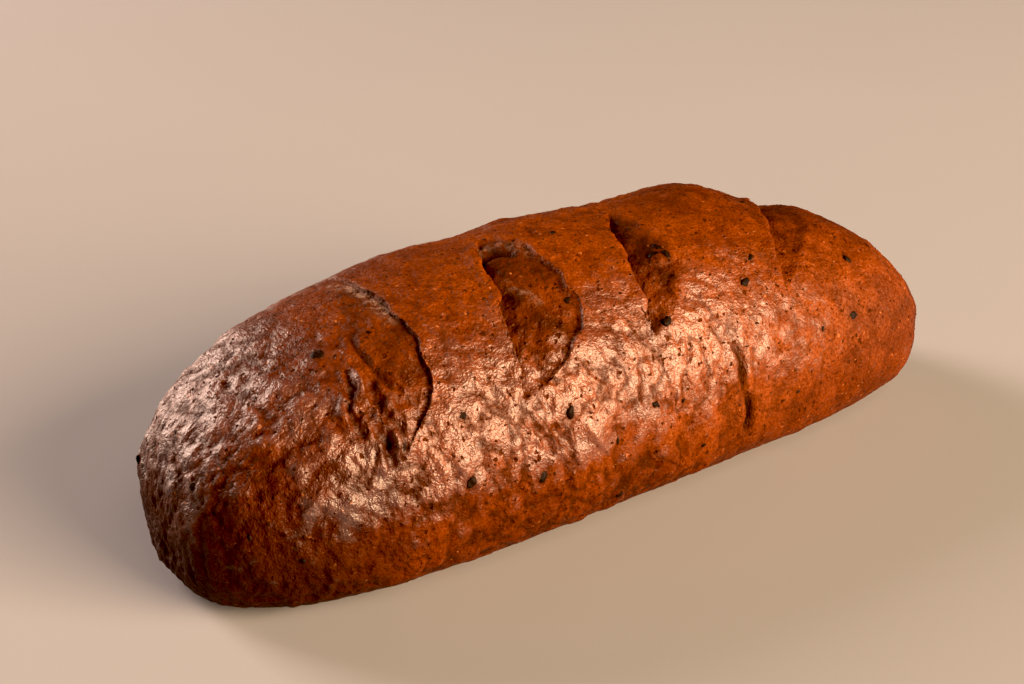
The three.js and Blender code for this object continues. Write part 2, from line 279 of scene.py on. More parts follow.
SHOWN_SEATS = (
    Seat(-109, 16, 5.0),
    Seat(-99, 57, 4.4),
    Seat(-55, 90, 4.8),
    Seat(19, 27, 4.4),
    Seat(23, 25, 4.6),
    Seat(23, 30, 3.6),
    Seat(6, 54, 4.2),
    Seat(93, 67, 4.8),
    Seat(104, 44, 4.4),
    Seat(46, 49, 4.4),
    Seat(-42, 72, 4.6),
    Seat(-25, 35, 3.4),
    Seat(-79, 59, 4.2),
    Seat(-81, 78, 4.2),
)
SEAT_SEED = 7
SEAT_SPACING = 12.0
SEAT_LOWEST = 14.0
SEAT_LENGTHS = (1.8, 3.6)
SMALL_SEATS = 1.8  # a higher power gives more small kernels
BARE_RINGS = 4  # rings at each tip without a kernel
MOUND_RISE = 0.45
MOUND_REACH = 0.85  # in lengths of the kernel
# Painted shade round each kernel's seat
SEAT_SHADE = 0.8
SEAT_SHADE_REACH = 0.62
KERNEL_SINK = 0.26  # how far a kernel's middle lies under the crust, in thicknesses
WIDTH_DRAW = 0.1  # how much wider than the least a kernel may be, in lengths
BLISTERS = (
    Seat(-26, 75, 6.5),
    Seat(-78, 50, 8.0),
    Seat(46, 62, 5.0),
    Seat(-64, 74, 5.0),
    Seat(12, 70, 4.5),
)
BLISTER_RISE = 0.5


class Grit(NamedTuple):
    """A noise, by the size of its lumps in millimetres."""

    size: float
    detail: float
    roughness: float = 0.5
    distortion: float = 0.0


# Fine relief
SWELL = Grit(26.0, 1.0)
COARSE = Grit(11.0, 3.0)
FINE = Grit(4.5, 2.0)
LUMP_STRETCH = (1.0, 1.0, 0.65)  # lumps are taller than wide
LUMP_MEAN = 0.22
CRAG_CREASE = 0.11
ROUGH_WRINKLES = 0.25  # how much more the rough ends wrinkle
FOOT_WRINKLES = 0.55  # share of the wrinkles' height that is left at the base
FOLD = Grit(8.0, 3.0, 0.5, 1.2)
FOLD_LEAN = 0.45
TORN_CRUST = Grit(6.5, 3.0, 0.5, 1.2)
TORN_LEAN = -0.25
SLANT_STRETCH = 0.4
TEAR = Grit(5.0, 3.0, 0.6, 0.8)
PIT_SPACING = 6.5
PIT_RIM = (0.3, 0.05)
PIT_CHANCE = (0.45, 0.6)


class Spots(NamedTuple):
    """Scattered round spots: spacing in millimetres, radii in spacings, and how many places have one."""

    spacing: float
    smallest: float
    largest: float
    share: float = 1.0


# Marks that the crust's material draws
PITS = Spots(4.0, 0.06, 0.22, 0.5)
SPECKS = Spots(2.6, 0.07, 0.24, 0.62)
PALE_FLECKS = Spots(3.1, 0.06, 0.17, 0.4)
DASHES = Spots(3.6, 0.05, 0.14, 0.5)
DASH_STRETCH = (1.0, 0.7, 0.45)
DOMES = Spots(6.5, 0.1, 0.4)
SPOT_EDGE = 0.05
JOG = Grit(1.4, 1.0)
JOG_REACH = 1.7
PLATES = Grit(7.0, 4.0, 0.7)
PLATE_EDGE = (0.56, 0.98)
STAINS = Grit(4.5, 4.0, 0.7)
STAIN_EDGE = (0.53, 0.62)
BROAD = Grit(55.0, 2.0)
BROAD_EDGE = (0.35, 0.65)
DUST = Grit(2.0, 3.0, 0.7)
DUST_EDGE = (0.42, 0.62)
SAND = Grit(1.6, 2.0, 0.7)
SAND_HEIGHTS = (0.8, 0.6)  # on dull crust and on glossy crust
GRIT = Grit(0.7, 1.0)
CREST_WIDTH = 0.12
HOLLOW_LIFT = (0.0, -1.1)
CRUST_MASKS = (
    "slash", "lift", "rough", "uneven", "low", "shade", "scorch", "crease", "glaze", "sleek", "flour",
)

# How much each mark counts: for gloss, for the golden colour, for light, for dark and for height. Some of
# the light and dark is painted highlight and painted shade.
GLOSS = {"lift": 0.1, "glaze": 0.5, "slash": -0.3}
# The negative weight on the rough ends paints shade on them
GOLD = {"mottle": 0.45, "broad": 0.25, "rough": -0.52, "sheen": -0.05}
GOLD_BASE = 0.16
# crest is a painted highlight along the wrinkles' crests; pale flecks are the crust's own
LIGHT = {"pale": 0.65, "crest": 0.06}
# The hollows, the foot of the rough ends, the creases between crags, the recesses and the pits are darkened
# with painted shade; stains, specks and dashes are the crust's own dark marks
DARK = {
    "hollow": 0.35,
    "stain": 0.25,
    "burnt_foot": 0.78,
    "crease": 0.8,
    "scorch": 0.88,
    "pit": 0.7,
    "speck": 0.85,
    "dash": 0.75,
}
HEIGHT = {
    "grit": 0.24,
    "sheen": 0.2,
    "wrinkle": -0.45,
    "dome": 0.3,
    "pit": -0.5,
    "dash": -0.3,
    "speck": 0.12,
}
UNCOATED = ("pit", "speck", "dash", "scorch", "crease")
FINE_TONE = 0.68
FINE_DULL = 0.1
DRY_DULL = 0.15
GLINT_EDGE = (0.45, 0.6)

# Mottle and grain of what is baked
BAKED_MOTTLE = (3.0, 0.6)  # detail and roughness of the noise
BAKED_GRAIN = (1.0, 0.65)
BAKED_EDGE = (0.3, 0.7)
CRUST_MOTTLE_SIZE = 11.0
CRUST_GRAIN_SIZE = 1.0


class Baked(NamedTuple):
    """Finish of a kind of grain. Its streaks and lumps, and how far they lift it, are in millimetres."""

    roughness: float
    grain_size: float
    lumps: Grit
    lumpiness: float


KERNEL = Baked(0.5, 1.0, Grit(2.2, 1.0), 1.5)
BRAN = Baked(0.45, 0.6, Grit(0.9, 1.0), 0.5)
BAKED_MOTTLE_SIZE = 2.4
BAKED_DULL = 0.2
BAKED_GLOSS = 0.14
BAKED_BUMP = 0.3
BAKED_BUMP_STRENGTH = 0.6
UNIT_RADIUS = 0.5
KERNEL_SUBDIVISIONS = 3
BRAN_SUBDIVISIONS = 1
BRAN_SMALLEST = (0.6 * MM, 0.4 * MM, 0.2 * MM)
BRAN_LARGEST = (2.3 * MM, 1.1 * MM, 0.45 * MM)
BRAN_SEED = 3
MIDDLE_DRAW = (0.5, 0.5, 0.5)  # the middle of a noise's colours


def smooth_step(start, end, value):
    """A step from 0 at one value to 1 at another, whichever is the larger."""
    share = np.clip((value - start) / (end - start), 0.0, 1.0)
    return share * share * (3.0 - 2.0 * share)


def bell(distance):
    return np.exp(-distance * distance)


def mix(start, end, share):
    return start + (end - start) * share


def signed_power(value, power):
    return np.sign(value) * np.abs(value) ** power


def wobble(x, girth):
    """How far a cut wanders at a place, in millimetres."""
    bend = LONG_WAVE_BEND * np.sin(x / LONG_WAVE_X)
    long_wave = LONG_WAVE * np.sin(girth / LONG_WAVE_GIRTH + bend)
    short_wave = SHORT_WAVE * np.sin(girth / SHORT_WAVE_GIRTH + x / SHORT_WAVE_X)
    return long_wave + short_wave


def end_fullness(share, rounding):
    """How full a half is at a share of its length: 1 in the middle, 0 at the tip."""
    power = np.where(share < 0.0, rounding[0], rounding[1])
    return np.maximum(0.0, 1.0 - np.abs(share) ** power) ** (1.0 / power)


class PlainForm:
    """The loaf's bar without relief, in millimetres, its fullest section off its middle."""

    def __init__(self, sizes):
        length = sizes.length / MM
        self.near_half = length * NEAR_SHARE
        self.far_half = length - self.near_half
        self.fullest_x = (self.near_half - self.far_half) / 2
        self.half_width = sizes.width / MM / 2
        self.height = sizes.height / MM
        self.belly_height = sizes.belly_height / MM
        self.tip_height = sizes.tip_height / MM

    def half_length(self, share):
        return np.where(share < 0.0, self.near_half, self.far_half)

    def x_at(self, share):
        return self.fullest_x + share * self.half_length(share)

    def belly_and_foot(self, share):
        belly = mix(self.tip_height, self.belly_height, end_fullness(share, CREST_ROUNDING))
        foot = mix(self.tip_height, -FOOT_SINK, end_fullness(share, FOOT_ROUNDING))
        return belly, foot

    def point(self, share, angle):
        """Points of the form. The angle is 0 at the back and a quarter turn at the ridge."""
        belly, foot = self.belly_and_foot(share)
        top = mix(self.tip_height, self.height, end_fullness(share, CREST_ROUNDING))
        rise = np.sin(angle)
        across = np.cos(angle)
        upper = rise >= 0.0
        power = np.where(upper, 2.0 / TOP_POWER, 2.0 / FOOT_POWER)
        reach = np.where(upper, top - belly, belly - foot)
        front = end_fullness(share, FRONT_ROUNDING)
        back = end_fullness(share, BACK_ROUNDING)
        y = self.half_width * np.where(across < 0.0, front, back) * signed_power(across, power)
        z = belly + reach * signed_power(rise, power)
        return np.stack((self.x_at(share), y, z), axis=-1)

    def foot_angle(self, share):
        """How far below the level of the belly, as an angle, the section meets the base."""
        belly, foot = self.belly_and_foot(share)
        depth_share = np.clip(belly / (belly - np.minimum(foot, 0.0)), 0.0, 1.0)
        return np.arcsin(depth_share ** (FOOT_POWER / 2))

    def girth(self, share, angle):
        total = np.zeros_like(share)
        last = self.point(share, np.full_like(share, RIDGE_ANGLE))
        for step in range(1, GIRTH_STEPS + 1):
            point = self.point(share, mix(RIDGE_ANGLE, angle, step / GIRTH_STEPS))
            total += np.linalg.norm(point - last, axis=-1)
            last = point
        return np.where(angle > RIDGE_ANGLE, total, -total)


class Opening(NamedTuple):
    """A slash's opening at each girth: the share of its run, its middle, half width and presence."""

    run: np.ndarray
    middle: np.ndarray
    half: np.ndarray
    taper: np.ndarray


def edge_line(places, girth):
    """Where a smooth line through places lies along X at each girth."""
    x, at = np.array(places, float).T
    slopes = np.gradient(x, at)
    step = np.clip(np.searchsorted(at, girth) - 1, 0, len(at) - 2)
    length = at[step + 1] - at[step]
    run = np.clip((girth - at[step]) / length, 0.0, 1.0)
    from_start = x[step] + slopes[step] * length * run
    from_end = x[step + 1] - slopes[step + 1] * length * (1.0 - run)
    return mix(from_start, from_end, smooth_step(0.0, 1.0, run))


def slash_opening(slash, girth):
    left = edge_line((slash.top, *slash.left, slash.low), girth)
    right = edge_line((slash.top, *slash.right, slash.low), girth)
    run = (girth - slash.top[1]) / (slash.low[1] - slash.top[1])
    half = np.maximum(right - left, 0.0) / 2
    present = smooth_step(0.0, SLASH_END, run) * smooth_step(1.0, 1.0 - SLASH_END, run)
    taper = present * np.sqrt(np.minimum(half / SLASH_FULL_HALF, 1.0))
    return Opening(run, (left + right) / 2, half, taper)


def edge_distance(slash, side, x, girth):
    """Distance over the crust from one edge of a slash, positive outside the slash."""
    here = slash_opening(slash, girth)
    ahead = slash_opening(slash, girth + SLOPE_STEP)
    slope = ((ahead.middle + side * ahead.half) - (here.middle + side * here.half)) / SLOPE_STEP
    squareness = 1.0 / np.sqrt(1.0 + np.clip(slope, -STEEPEST_SLOPE, STEEPEST_SLOPE) ** 2)
    edge = here.middle + side * here.half + wobble(here.middle, girth) * here.taper
    return (x - edge) * side * squareness, squareness, here


def draw_to_edges(x, girth):
    """Moves places along X so that they crowd at the slashes' edges, which keeps the rims crisp."""
    for slash in SLASHES:
        for side in (-1.0, 1.0):
            distance, squareness, opening = edge_distance(slash, side, x, girth)
            share = np.abs(distance) / MAGNET_REACH
            drawn = np.sign(distance) * MAGNET_REACH * share**MAGNET_POWER
            strength = opening.taper * smooth_step(*MAGNET_HALVES, opening.half / MAGNET_REACH)
            moved = (drawn - distance) / squareness * side * strength
            x = np.where(share < 1.0, x + moved, x)
    return x


class Relief:
    """What lifts or lowers the crust off its plain form, with the masks that colour it and paint shade into
    it.
    """

    def __init__(self, x, girth):
        self.x = x
        self.girth = girth
        self.rise = np.zeros_like(x)
        self.shift = np.zeros_like(x)
        self.slash = np.zeros_like(x)
        # Painted shade: under the slashes' rims, in splits and round the kernels
        self.scorch = np.zeros_like(x)
        self.flour = np.zeros_like(x)

    def add_lobes(self):
        for lobe in LOBES:
            across = self.girth - lobe.girth
            along = self.x - lobe.x + LOBE_LEAN * across
            self.rise += lobe.rise * bell(along / lobe.reach) * bell(across / lobe.spread)

    def add_slash(self, slash):
        left_distance, _, opening = edge_distance(slash, -1.0, self.x, self.girth)
        right_distance, _, _ = edge_distance(slash, 1.0, self.x, self.girth)
        sides = ((-1.0, slash.left_edge, left_distance), (1.0, slash.right_edge, right_distance))
        half = np.maximum(opening.half, SLASH_LEAST_HALF)
        across = np.clip((self.x - opening.middle) / half, -1.0, 1.0)
        floor = mix(slash.left_edge.depth, slash.right_edge.depth, (across + 1.0) / 2)
        floor = floor - FLOOR_BULGE * (1.0 - across**2)
        walls = np.ones_like(floor)
        for side, edge, distance in sides:
            walls *= smooth_step(0.0, -edge.wall, distance)
            floor += edge.gap * np.exp(-np.abs(distance) / GAP_REACH)
            # Painted shadow on the slash floor under each rim
            shade = GAP_DARKNESS * edge.gap * np.exp(-np.abs(distance) / GAP_SHADE) * walls
            self.scorch = np.maximum(self.scorch, np.minimum(shade, 1.0) * opening.taper)
            self.add_rim(side, edge, distance, opening.taper)
        self.rise -= floor * walls * opening.taper
        tone = slash.tone * walls * smooth_step(*FLOOR_TAPER, opening.taper)
        self.slash = np.maximum(self.slash, tone * smooth_step(*FLOOR_FADE, opening.run))

    def add_rim(self, side, edge, distance, taper):
        outside = distance >= 0.0
        lip = edge.lip * taper * bell((distance - LIP_OFFSET) / LIP_SPREAD)
        self.rise += np.where(outside, lip, 0.0)
        over = edge.overhang * taper * bell(distance / OVER_REACH)
        under = UNDER_SHARE * edge.overhang * taper * bell(distance / UNDER_REACH)
        self.shift += side * np.where(outside, -over, under)

    def add_crease(self, crease):
        width = crease.width
        distance, run = distance_to_line(crease.places, self.x + wobble(self.girth, self.x), self.girth)
        taper = np.sqrt(np.clip(4.0 * run * (1.0 - run), 0.0, 1.0))
        cut = np.clip(1.0 - distance / width, 0.0, 1.0) ** CREASE_POWER
        self.rise -= crease.depth * taper * cut
        self.rise += crease.lip * taper * bell((distance - CREASE_LIP_AT * width) / width)
        # Painted shade in the split
        self.scorch = np.maximum(self.scorch, crease.dark * taper * np.sqrt(cut))
        dusted = crease.flour * taper * bell(distance / (CREASE_FLOUR_REACH * width))
        self.flour = np.maximum(self.flour, dusted)


def distance_to_line(places, x, girth):
    """Distance from a line of places, and the share of the line's length that is nearest."""
    corners = np.array(places, float)
    lengths = np.linalg.norm(np.diff(corners, axis=0), axis=1)
    before = np.concatenate(([0.0], np.cumsum(lengths)))
    nearest = np.full_like(x, np.inf)
    run = np.zeros_like(x)
    for start, end, length, passed in zip(corners, corners[1:], lengths, before):
        along = (end - start) / length
        reach = (x - start[0]) * along[0] + (girth - start[1]) * along[1]
        reach = np.clip(reach, 0.0, length)
        distance = np.hypot(x - start[0] - reach * along[0], girth - start[1] - reach * along[1])
        closer = distance < nearest
        nearest = np.where(closer, distance, nearest)
        run = np.where(closer, (passed + reach) / before[-1], run)
    return nearest, run


def ring_shares(form):
    """Places of the rings on the ridge, even over the crust and closer together at the slashes."""
    samples = -np.cos(np.linspace(0.0, math.pi, STATION_SAMPLES))
    x = form.x_at(samples)
    half_width = form.half_width * end_fullness(samples, FRONT_ROUNDING)
    fineness = np.ones_like(x)
    for slash in SLASHES:
        middle = slash_opening(slash, np.zeros(1)).middle[0]
        fineness += SLASH_FINENESS * bell((x - middle) / SLASH_REACH)
    steps = np.hypot(np.diff(x), np.diff(half_width)) * fineness[1:]
    total = np.concatenate(([0.0], np.cumsum(steps)))
    return np.interp(np.arange(1, RINGS) / RINGS, total / total[-1], samples)


def leaning_share(form, share, angle):
    """A ring leans towards -X in front and +X behind, and stands upright at the tips."""
    towards_front = np.sin(np.clip(angle - RIDGE_ANGLE, -RIDGE_ANGLE, RIDGE_ANGLE))
    farness = smooth_step(*FAR_SLANT_SHARES, share)
    slant = mix(RING_SLANT, FAR_RING_SLANT, farness) * (1.0 - share**2) ** SLANT_FADE
    return share - slant / form.near_half * towards_front


class Grid(NamedTuple):
    """The plain crust as rings of points, with each point's place."""

    points: np.ndarray
    normals: np.ndarray
    x: np.ndarray
    girth: np.ndarray
    share: np.ndarray
    closed: np.ndarray


def crust_grid(form):
    ridge = ring_shares(form)[:, None]
    run = np.linspace(0.0, 2.0, RING_STEPS + 1)[None, :]
    back_foot = -form.foot_angle(leaning_share(form, ridge, 0.0))
    front_foot = math.pi + form.foot_angle(leaning_share(form, ridge, math.pi))
    back_side = mix(back_foot, RIDGE_ANGLE, run)
    front_side = mix(RIDGE_ANGLE, front_foot, run - 1.0)
    angle = np.where(run < 1.0, back_side, front_side)
    share = leaning_share(form, ridge + 0.0 * run, angle)
    girth = form.girth(share, angle)
    x = draw_to_edges(form.x_at(share), girth)
    share = share + (x - form.x_at(share)) / form.half_length(share)
    points = form.point(share, angle)
    along = np.gradient(points, axis=0)
    around = np.gradient(points, axis=1)
    normals = np.cross(around, along)
    normals /= np.linalg.norm(normals, axis=-1, keepdims=True)
    closed = form.belly_and_foot(share[:, 0])[1] >= 0.0
    return Grid(points, normals, x, girth, share, closed)


def nearest_point(grid, x, girth):
    """The grid point nearest to a place on the crust."""
    apart = np.hypot(grid.x - x, grid.girth - girth)
    return np.unravel_index(np.argmin(apart), apart.shape)


def choose_seats(grid, count):
    """Kernels' seats as grid points: those that show, then seeded ones that keep their distance."""
    seats = [(nearest_point(grid, seat.x, seat.girth), seat.length) for seat in SHOWN_SEATS]
    taken = [grid.points[at] for at, _ in seats]
    draw = np.random.default_rng(SEAT_SEED)
    rows, columns = grid.x.shape
    while len(seats) < count:
        at = (draw.integers(BARE_RINGS, rows - BARE_RINGS), draw.integers(0, columns))
        length = mix(*SEAT_LENGTHS, draw.random() ** SMALL_SEATS)
        apart = np.linalg.norm(np.array(taken) - grid.points[at], axis=1)
        if grid.points[at][2] > SEAT_LOWEST and apart.min() > SEAT_SPACING:
            seats.append((at, length))
            taken.append(grid.points[at])
    return seats


def add_mounds(relief, grid, seats):
    """The crust swells over each kernel, with painted shade round it."""
    for at, length in seats:
        distance = np.linalg.norm(grid.points - grid.points[at], axis=-1)
        relief.rise += MOUND_RISE * bell(distance / (MOUND_REACH * length))
        scorch = SEAT_SHADE * bell(distance / (SEAT_SHADE_REACH * length))
        relief.scorch = np.maximum(relief.scorch, scorch)


def blister_domes(grid):
    """Smooth low domes in the crust: 1 at the top, 0 outside."""
    domes = np.zeros_like(grid.x)
    for blister in BLISTERS:
        centre = grid.points[nearest_point(grid, blister.x, blister.girth)]
        distance = np.linalg.norm(grid.points - centre, axis=-1)
        domes = np.maximum(domes, smooth_step(blister.length / 2, blister.length / 4, distance))
    return domes


def patch_mask(grid, patches):
    mask = np.zeros_like(grid.x)
    for patch in patches:
        along = (grid.x - patch.x) / patch.reach
        over = (grid.girth - patch.girth) / patch.spread
        mask = np.maximum(mask, bell(along) * bell(over))
    return mask


def raise_relief(grid, seats, domes):
    """The relief of the whole crust."""
    relief = Relief(grid.x, grid.girth)
    relief.add_lobes()
    for slash in SLASHES:
        relief.add_slash(slash)
    for crease in CREASES:
        relief.add_crease(crease)
    tip_calm = smooth_step(*TIP_CALM, np.abs(grid.share))
    relief.rise *= tip_calm
    relief.shift *= tip_calm
    add_mounds(relief, grid, seats)
    relief.rise += BLISTER_RISE * domes
    # Painted shade in parts of the slash floors
    slash_shade = SLASH_SHADE_SHARE * patch_mask(grid, SLASH_SHADE_PATCHES) * relief.slash
    relief.scorch = np.maximum(relief.scorch, slash_shade)
    return relief


def uneven_mask(grid, near_rough, domes):
    """How uneven the crust is: most at the near end and on the sides, not at all on a blister."""
    sides = smooth_step(*SIDE_UNEVEN, np.abs(grid.girth))
    side_uneven = mix(SIDE_UNEVEN_SHARE, FAR_UNEVEN_SHARE, smooth_step(*FAR_UNEVEN, grid.x))
    uneven = np.maximum(NEAR_UNEVEN_SHARE * near_rough, mix(TOP_UNEVEN_SHARE, side_uneven, sides))
    return uneven * (1.0 - domes)


def shade_mask(grid, low):
    """Painted shade: towards the base and both ends, and on the highest part of the crest."""
    near_tone = NEAR_TONE_SHARE * smooth_step(*NEAR_TONE, grid.x)
    far_tone = FAR_TONE_SHARE * smooth_step(*FAR_TONE, grid.x)
    return np.minimum(low + near_tone + far_tone + CREST_SHADE_SHARE * patch_mask(grid, CREST_SHADE_PATCHES), 1.0)


def glaze_mask(grid, near_rough, low):
    """How glossy the crust is: most round the sides, less at the foot and towards the far end."""
    glaze = bell((np.abs(grid.girth) - GLAZE_GIRTH) / GLAZE_SPREAD)
    glaze = np.maximum(glaze, NEAR_GLAZE * near_rough)
    glaze = np.maximum(glaze, patch_mask(grid, GLAZED))
    glaze *= smooth_step(*GLAZE_HEIGHTS, grid.points[..., 2]) * smooth_step(*FAR_DULL, grid.x)
    glaze *= 1.0 - NEAR_FOOT_DULL * near_rough * low
    return glaze * (1.0 - DULL_SHARE * patch_mask(grid, DULLED))


def seat_mask(grid, seats):
    """The length of the kernel at each point that is a seat, and 0 elsewhere."""
    mask = np.zeros_like(grid.x)
    for at, length in seats:
        mask[at] = length
    return mask


def with_tips(values, near, far):
    return np.concatenate((values.reshape(-1, *values.shape[2:]), [near, far]))


def crust_masks(grid, relief, calm, seats, domes):
    """Masks by name. Each is given on the grid, then at the near tip and at the far tip."""
    near_rough = smooth_step(*NEAR_ROUGH, grid.x)
    far_rough = FAR_ROUGH_SHARE * smooth_step(*FAR_ROUGH, grid.x)
    low = smooth_step(*LOW_TONE, grid.points[..., 2])
    masks = {
        "slash": (relief.slash, 0.0, 0.0),
        "scorch": (relief.scorch, 0.0, 0.0),
        "flour": (relief.flour, 0.0, 0.0),
        "uneven": (uneven_mask(grid, near_rough, domes), NEAR_UNEVEN_SHARE, FAR_UNEVEN_SHARE),
        "glaze": (glaze_mask(grid, near_rough, low), NEAR_TIP_GLAZE, 0.0),
        "sleek": (domes, 0.0, 0.0),
        "calm": (calm, 1.0, 1.0),
        "low": (low, TIP_LOW, TIP_LOW),
        "shade": (shade_mask(grid, low), NEAR_TONE_SHARE, FAR_TONE_SHARE),
        "rough": (np.maximum(near_rough, far_rough), 1.0, FAR_ROUGH_SHARE),
        "fold": (patch_mask(grid, FOLDED), 0.0, 0.0),
        "torn": (patch_mask(grid, TORN), 0.0, 0.0),
        "along": (grid.x * MM, grid.x[0, 0] * MM, grid.x[-1, 0] * MM),
        "over": (grid.girth * MM, 0.0, 0.0),
        "seat": (seat_mask(grid, seats) * MM, 0.0, 0.0),
    }
    return {name: with_tips(*values) for name, values in masks.items()}


def shape_crust(form, kernel_count):
    """The crust's points in millimetres, and its masks by name."""
    grid = crust_grid(form)
    seats = choose_seats(grid, kernel_count)
    domes = blister_domes(grid)
    relief = raise_relief(grid, seats, domes)
    calm = smooth_step(*FOOT_CALM, grid.points[..., 2])
    points = grid.points + grid.normals * (relief.rise * calm)[..., None]
    points[..., 0] += relief.shift * calm
    points[..., 2] = np.maximum(points[..., 2], 0.0)
    points[grid.closed, -1] = points[grid.closed, 0]
    tips = [form.point(np.array(end), np.array(RIDGE_ANGLE)) for end in (-1.0, 1.0)]
    return with_tips(points, *tips), crust_masks(grid, relief, calm, seats, domes)


def crust_faces(rows, columns):
    """Faces of a grid of rings with a tip at each end, and which of them are the flat base."""
    index = np.arange(rows * columns).reshape(rows, columns)
    around = np.concatenate((index, index[:, :1]), axis=1)
    quads = np.stack((around[:-1, :-1], around[1:, :-1], around[1:, 1:], around[:-1, 1:]), axis=-1)
    near_tip = rows * columns
    far_tip = near_tip + 1
    faces = quads.reshape(-1, 4).tolist()
    flat = np.zeros((rows - 1, columns), bool)
    flat[:, -1] = True
    faces += [(near_tip, a, b) for a, b in zip(around[0, :-1].tolist(), around[0, 1:].tolist())]
    faces += [(far_tip, b, a) for a, b in zip(around[-1, :-1].tolist(), around[-1, 1:].tolist())]
    return faces, flat.reshape(-1)


def stand_in_frame(points):
    """Moves the crust's points to where the loaf's solid stands, and into metres."""
    low = points.min(axis=0)
    high = points.max(axis=0)
    middle = (np.array(LOAF_LOW) + np.array(LOAF_HIGH)) / 2
    offset = middle - (low + high) / 2 * MM
    offset[2] = LOAF_LOW.z - low[2] * MM
    return points * MM + offset


def crust_mesh(form, kernel_count):
    points, masks = shape_crust(form, kernel_count)
    faces, flat = crust_faces(RINGS - 1, RING_STEPS + 1)
    mesh = bpy.data.meshes.new("loaf_crust")
    mesh.from_pydata(stand_in_frame(points), [], faces)
    smooth = np.ones(len(faces), bool)
    smooth[: len(flat)] = ~flat
    mesh.polygons.foreach_set("use_smooth", smooth)
    for name, values in masks.items():
        attribute = mesh.attributes.new(name, "FLOAT", "POINT")
        attribute.data.foreach_set("value", values.astype(np.float32))
    merge_doubles(mesh)
    return mesh


def merge_doubles(mesh):
    work = bmesh.new()
    work.from_mesh(mesh)
    bmesh.ops.remove_doubles(work, verts=work.verts, dist=MERGE_DISTANCE)
    bmesh.ops.recalc_face_normals(work, faces=work.faces)
    work.to_mesh(mesh)
    work.free()


class Nodes:
    """Adds nodes to a tree, giving each input a value or a link."""

    def __init__(self, tree):
        self.tree = tree

    def feed(self, socket, value):
        if isinstance(value, bpy.types.NodeSocket):
            self.tree.links.new(value, socket)
        else:
            socket.default_value = value

    def add(self, kind, inputs=None, **settings):
        node = self.tree.nodes.new(kind)
        for name, value in settings.items():
            setattr(node, name, value)
        for key, value in (inputs or {}).items():
            self.feed(node.inputs[key], value)
        return node

    def math(self, operation, *values, clamp=False):
        node = self.add("ShaderNodeMath", dict(enumerate(values)), operation=operation, use_clamp=clamp)
        return node.outputs[0]

    def join(self, operation, first, *rest):
        """Joins several values by one operation."""
        for value in rest:
            first = self.math(operation, first, value)
        return first

    def plus(self, *values):
        return self.join("ADD", *values)

    def times(self, *values):
        return self.join("MULTIPLY", *values)

    def most(self, *values):
        return self.join("MAXIMUM", *values)

    def weigh(self, value, weight, base, clamp=False):
        """A base plus a value times its weight."""
        return self.math("MULTIPLY_ADD", value, weight, base, clamp=clamp)

    def left_by(self, value, clamp=False):
        """What a value leaves of 1."""
        return self.math("SUBTRACT", 1.0, value, clamp=clamp)

    def vector(self, operation, *values):
        node = self.add("ShaderNodeVectorMath", dict(enumerate(values)), operation=operation)
        return node.outputs["Vector"]

    def scale(self, vector, factor):
        node = self.add("ShaderNodeVectorMath", {0: vector, "Scale": factor}, operation="SCALE")
        return node.outputs["Vector"]

    def noise(self, vector, grit):
        inputs = {
            "Vector": vector,
            "Scale": 1.0 / (grit.size * MM),
            "Detail": grit.detail,
            "Roughness": grit.roughness,
            "Distortion": grit.distortion,
        }
        return self.add("ShaderNodeTexNoise", inputs).outputs

    def cells(self, vector, spacing):
        inputs = {"Vector": vector, "Scale": 1.0 / (spacing * MM)}
        return self.add("ShaderNodeTexVoronoi", inputs).outputs

    def span(self, value, start, end, low=0.0, high=1.0):
        """Maps a value between two bounds to a smooth step between two others."""
        inputs = {"Value": value, "From Min": start, "From Max": end, "To Min": low, "To Max": high}
        return self.add("ShaderNodeMapRange", inputs, interpolation_type="SMOOTHSTEP").outputs["Result"]

    def blend(self, factor, start, end, blend_type="MIX"):
        """Mixes two colours."""
        node = self.add("ShaderNodeMix", data_type="RGBA", blend_type=blend_type)
        self.feed(node.inputs[0], factor)
        self.feed(node.inputs[6], start)
        self.feed(node.inputs[7], end)
        return node.outputs[2]


def new_tree(name, **inputs):
    """A geometry tree that takes a geometry, a material and inputs of its own, and gives a geometry."""
    tree = bpy.data.node_groups.new(name, "GeometryNodeTree")
    tree.interface.new_socket("Geometry", in_out="OUTPUT", socket_type="NodeSocketGeometry")
    for label, kind in {"Geometry": "Geometry", **inputs, "Material": "Material"}.items():
        tree.interface.new_socket(label_of(label), in_out="INPUT", socket_type=f"NodeSocket{kind}")
    nodes = Nodes(tree)
    return tree, nodes, nodes.add("NodeGroupInput").outputs, nodes.add("NodeGroupOutput").inputs


def label_of(name):
    """An input's label from its name: crag_rise becomes Crag Rise."""
    return name.replace("_", " ").title()


def run_tree(piece, tree, **values):
    """Puts a geometry tree on a piece, sets its inputs and keeps what it makes as a plain mesh."""
    modifier = piece.modifiers.new(tree.name, "NODES")
    modifier.node_group = tree
    labelled = {label_of(name): value for name, value in values.items()}
    for item in tree.interface.items_tree:
        if item.in_out == "INPUT" and item.name in labelled:
            modifier[item.identifier] = labelled[item.name]
    depsgraph = bpy.context.evaluated_depsgraph_get()
    evaluated = piece.evaluated_get(depsgraph)
    mesh = bpy.data.meshes.new_from_object(evaluated, preserve_all_data_layers=True, depsgraph=depsgraph)
    piece.modifiers.remove(modifier)
    piece.data = mesh


def read_mask(nodes, name, kind="FLOAT"):
    node = nodes.add("GeometryNodeInputNamedAttribute", {"Name": name}, data_type=kind)
    return node.outputs["Attribute"]


def store(nodes, geometry, name, value, kind="FLOAT"):
    inputs = {"Geometry": geometry, "Name": name}
    node = nodes.add("GeometryNodeStoreNamedAttribute", inputs, data_type=kind, domain="POINT")
    nodes.feed(node.inputs["Value"], value)
    return node.outputs[0]


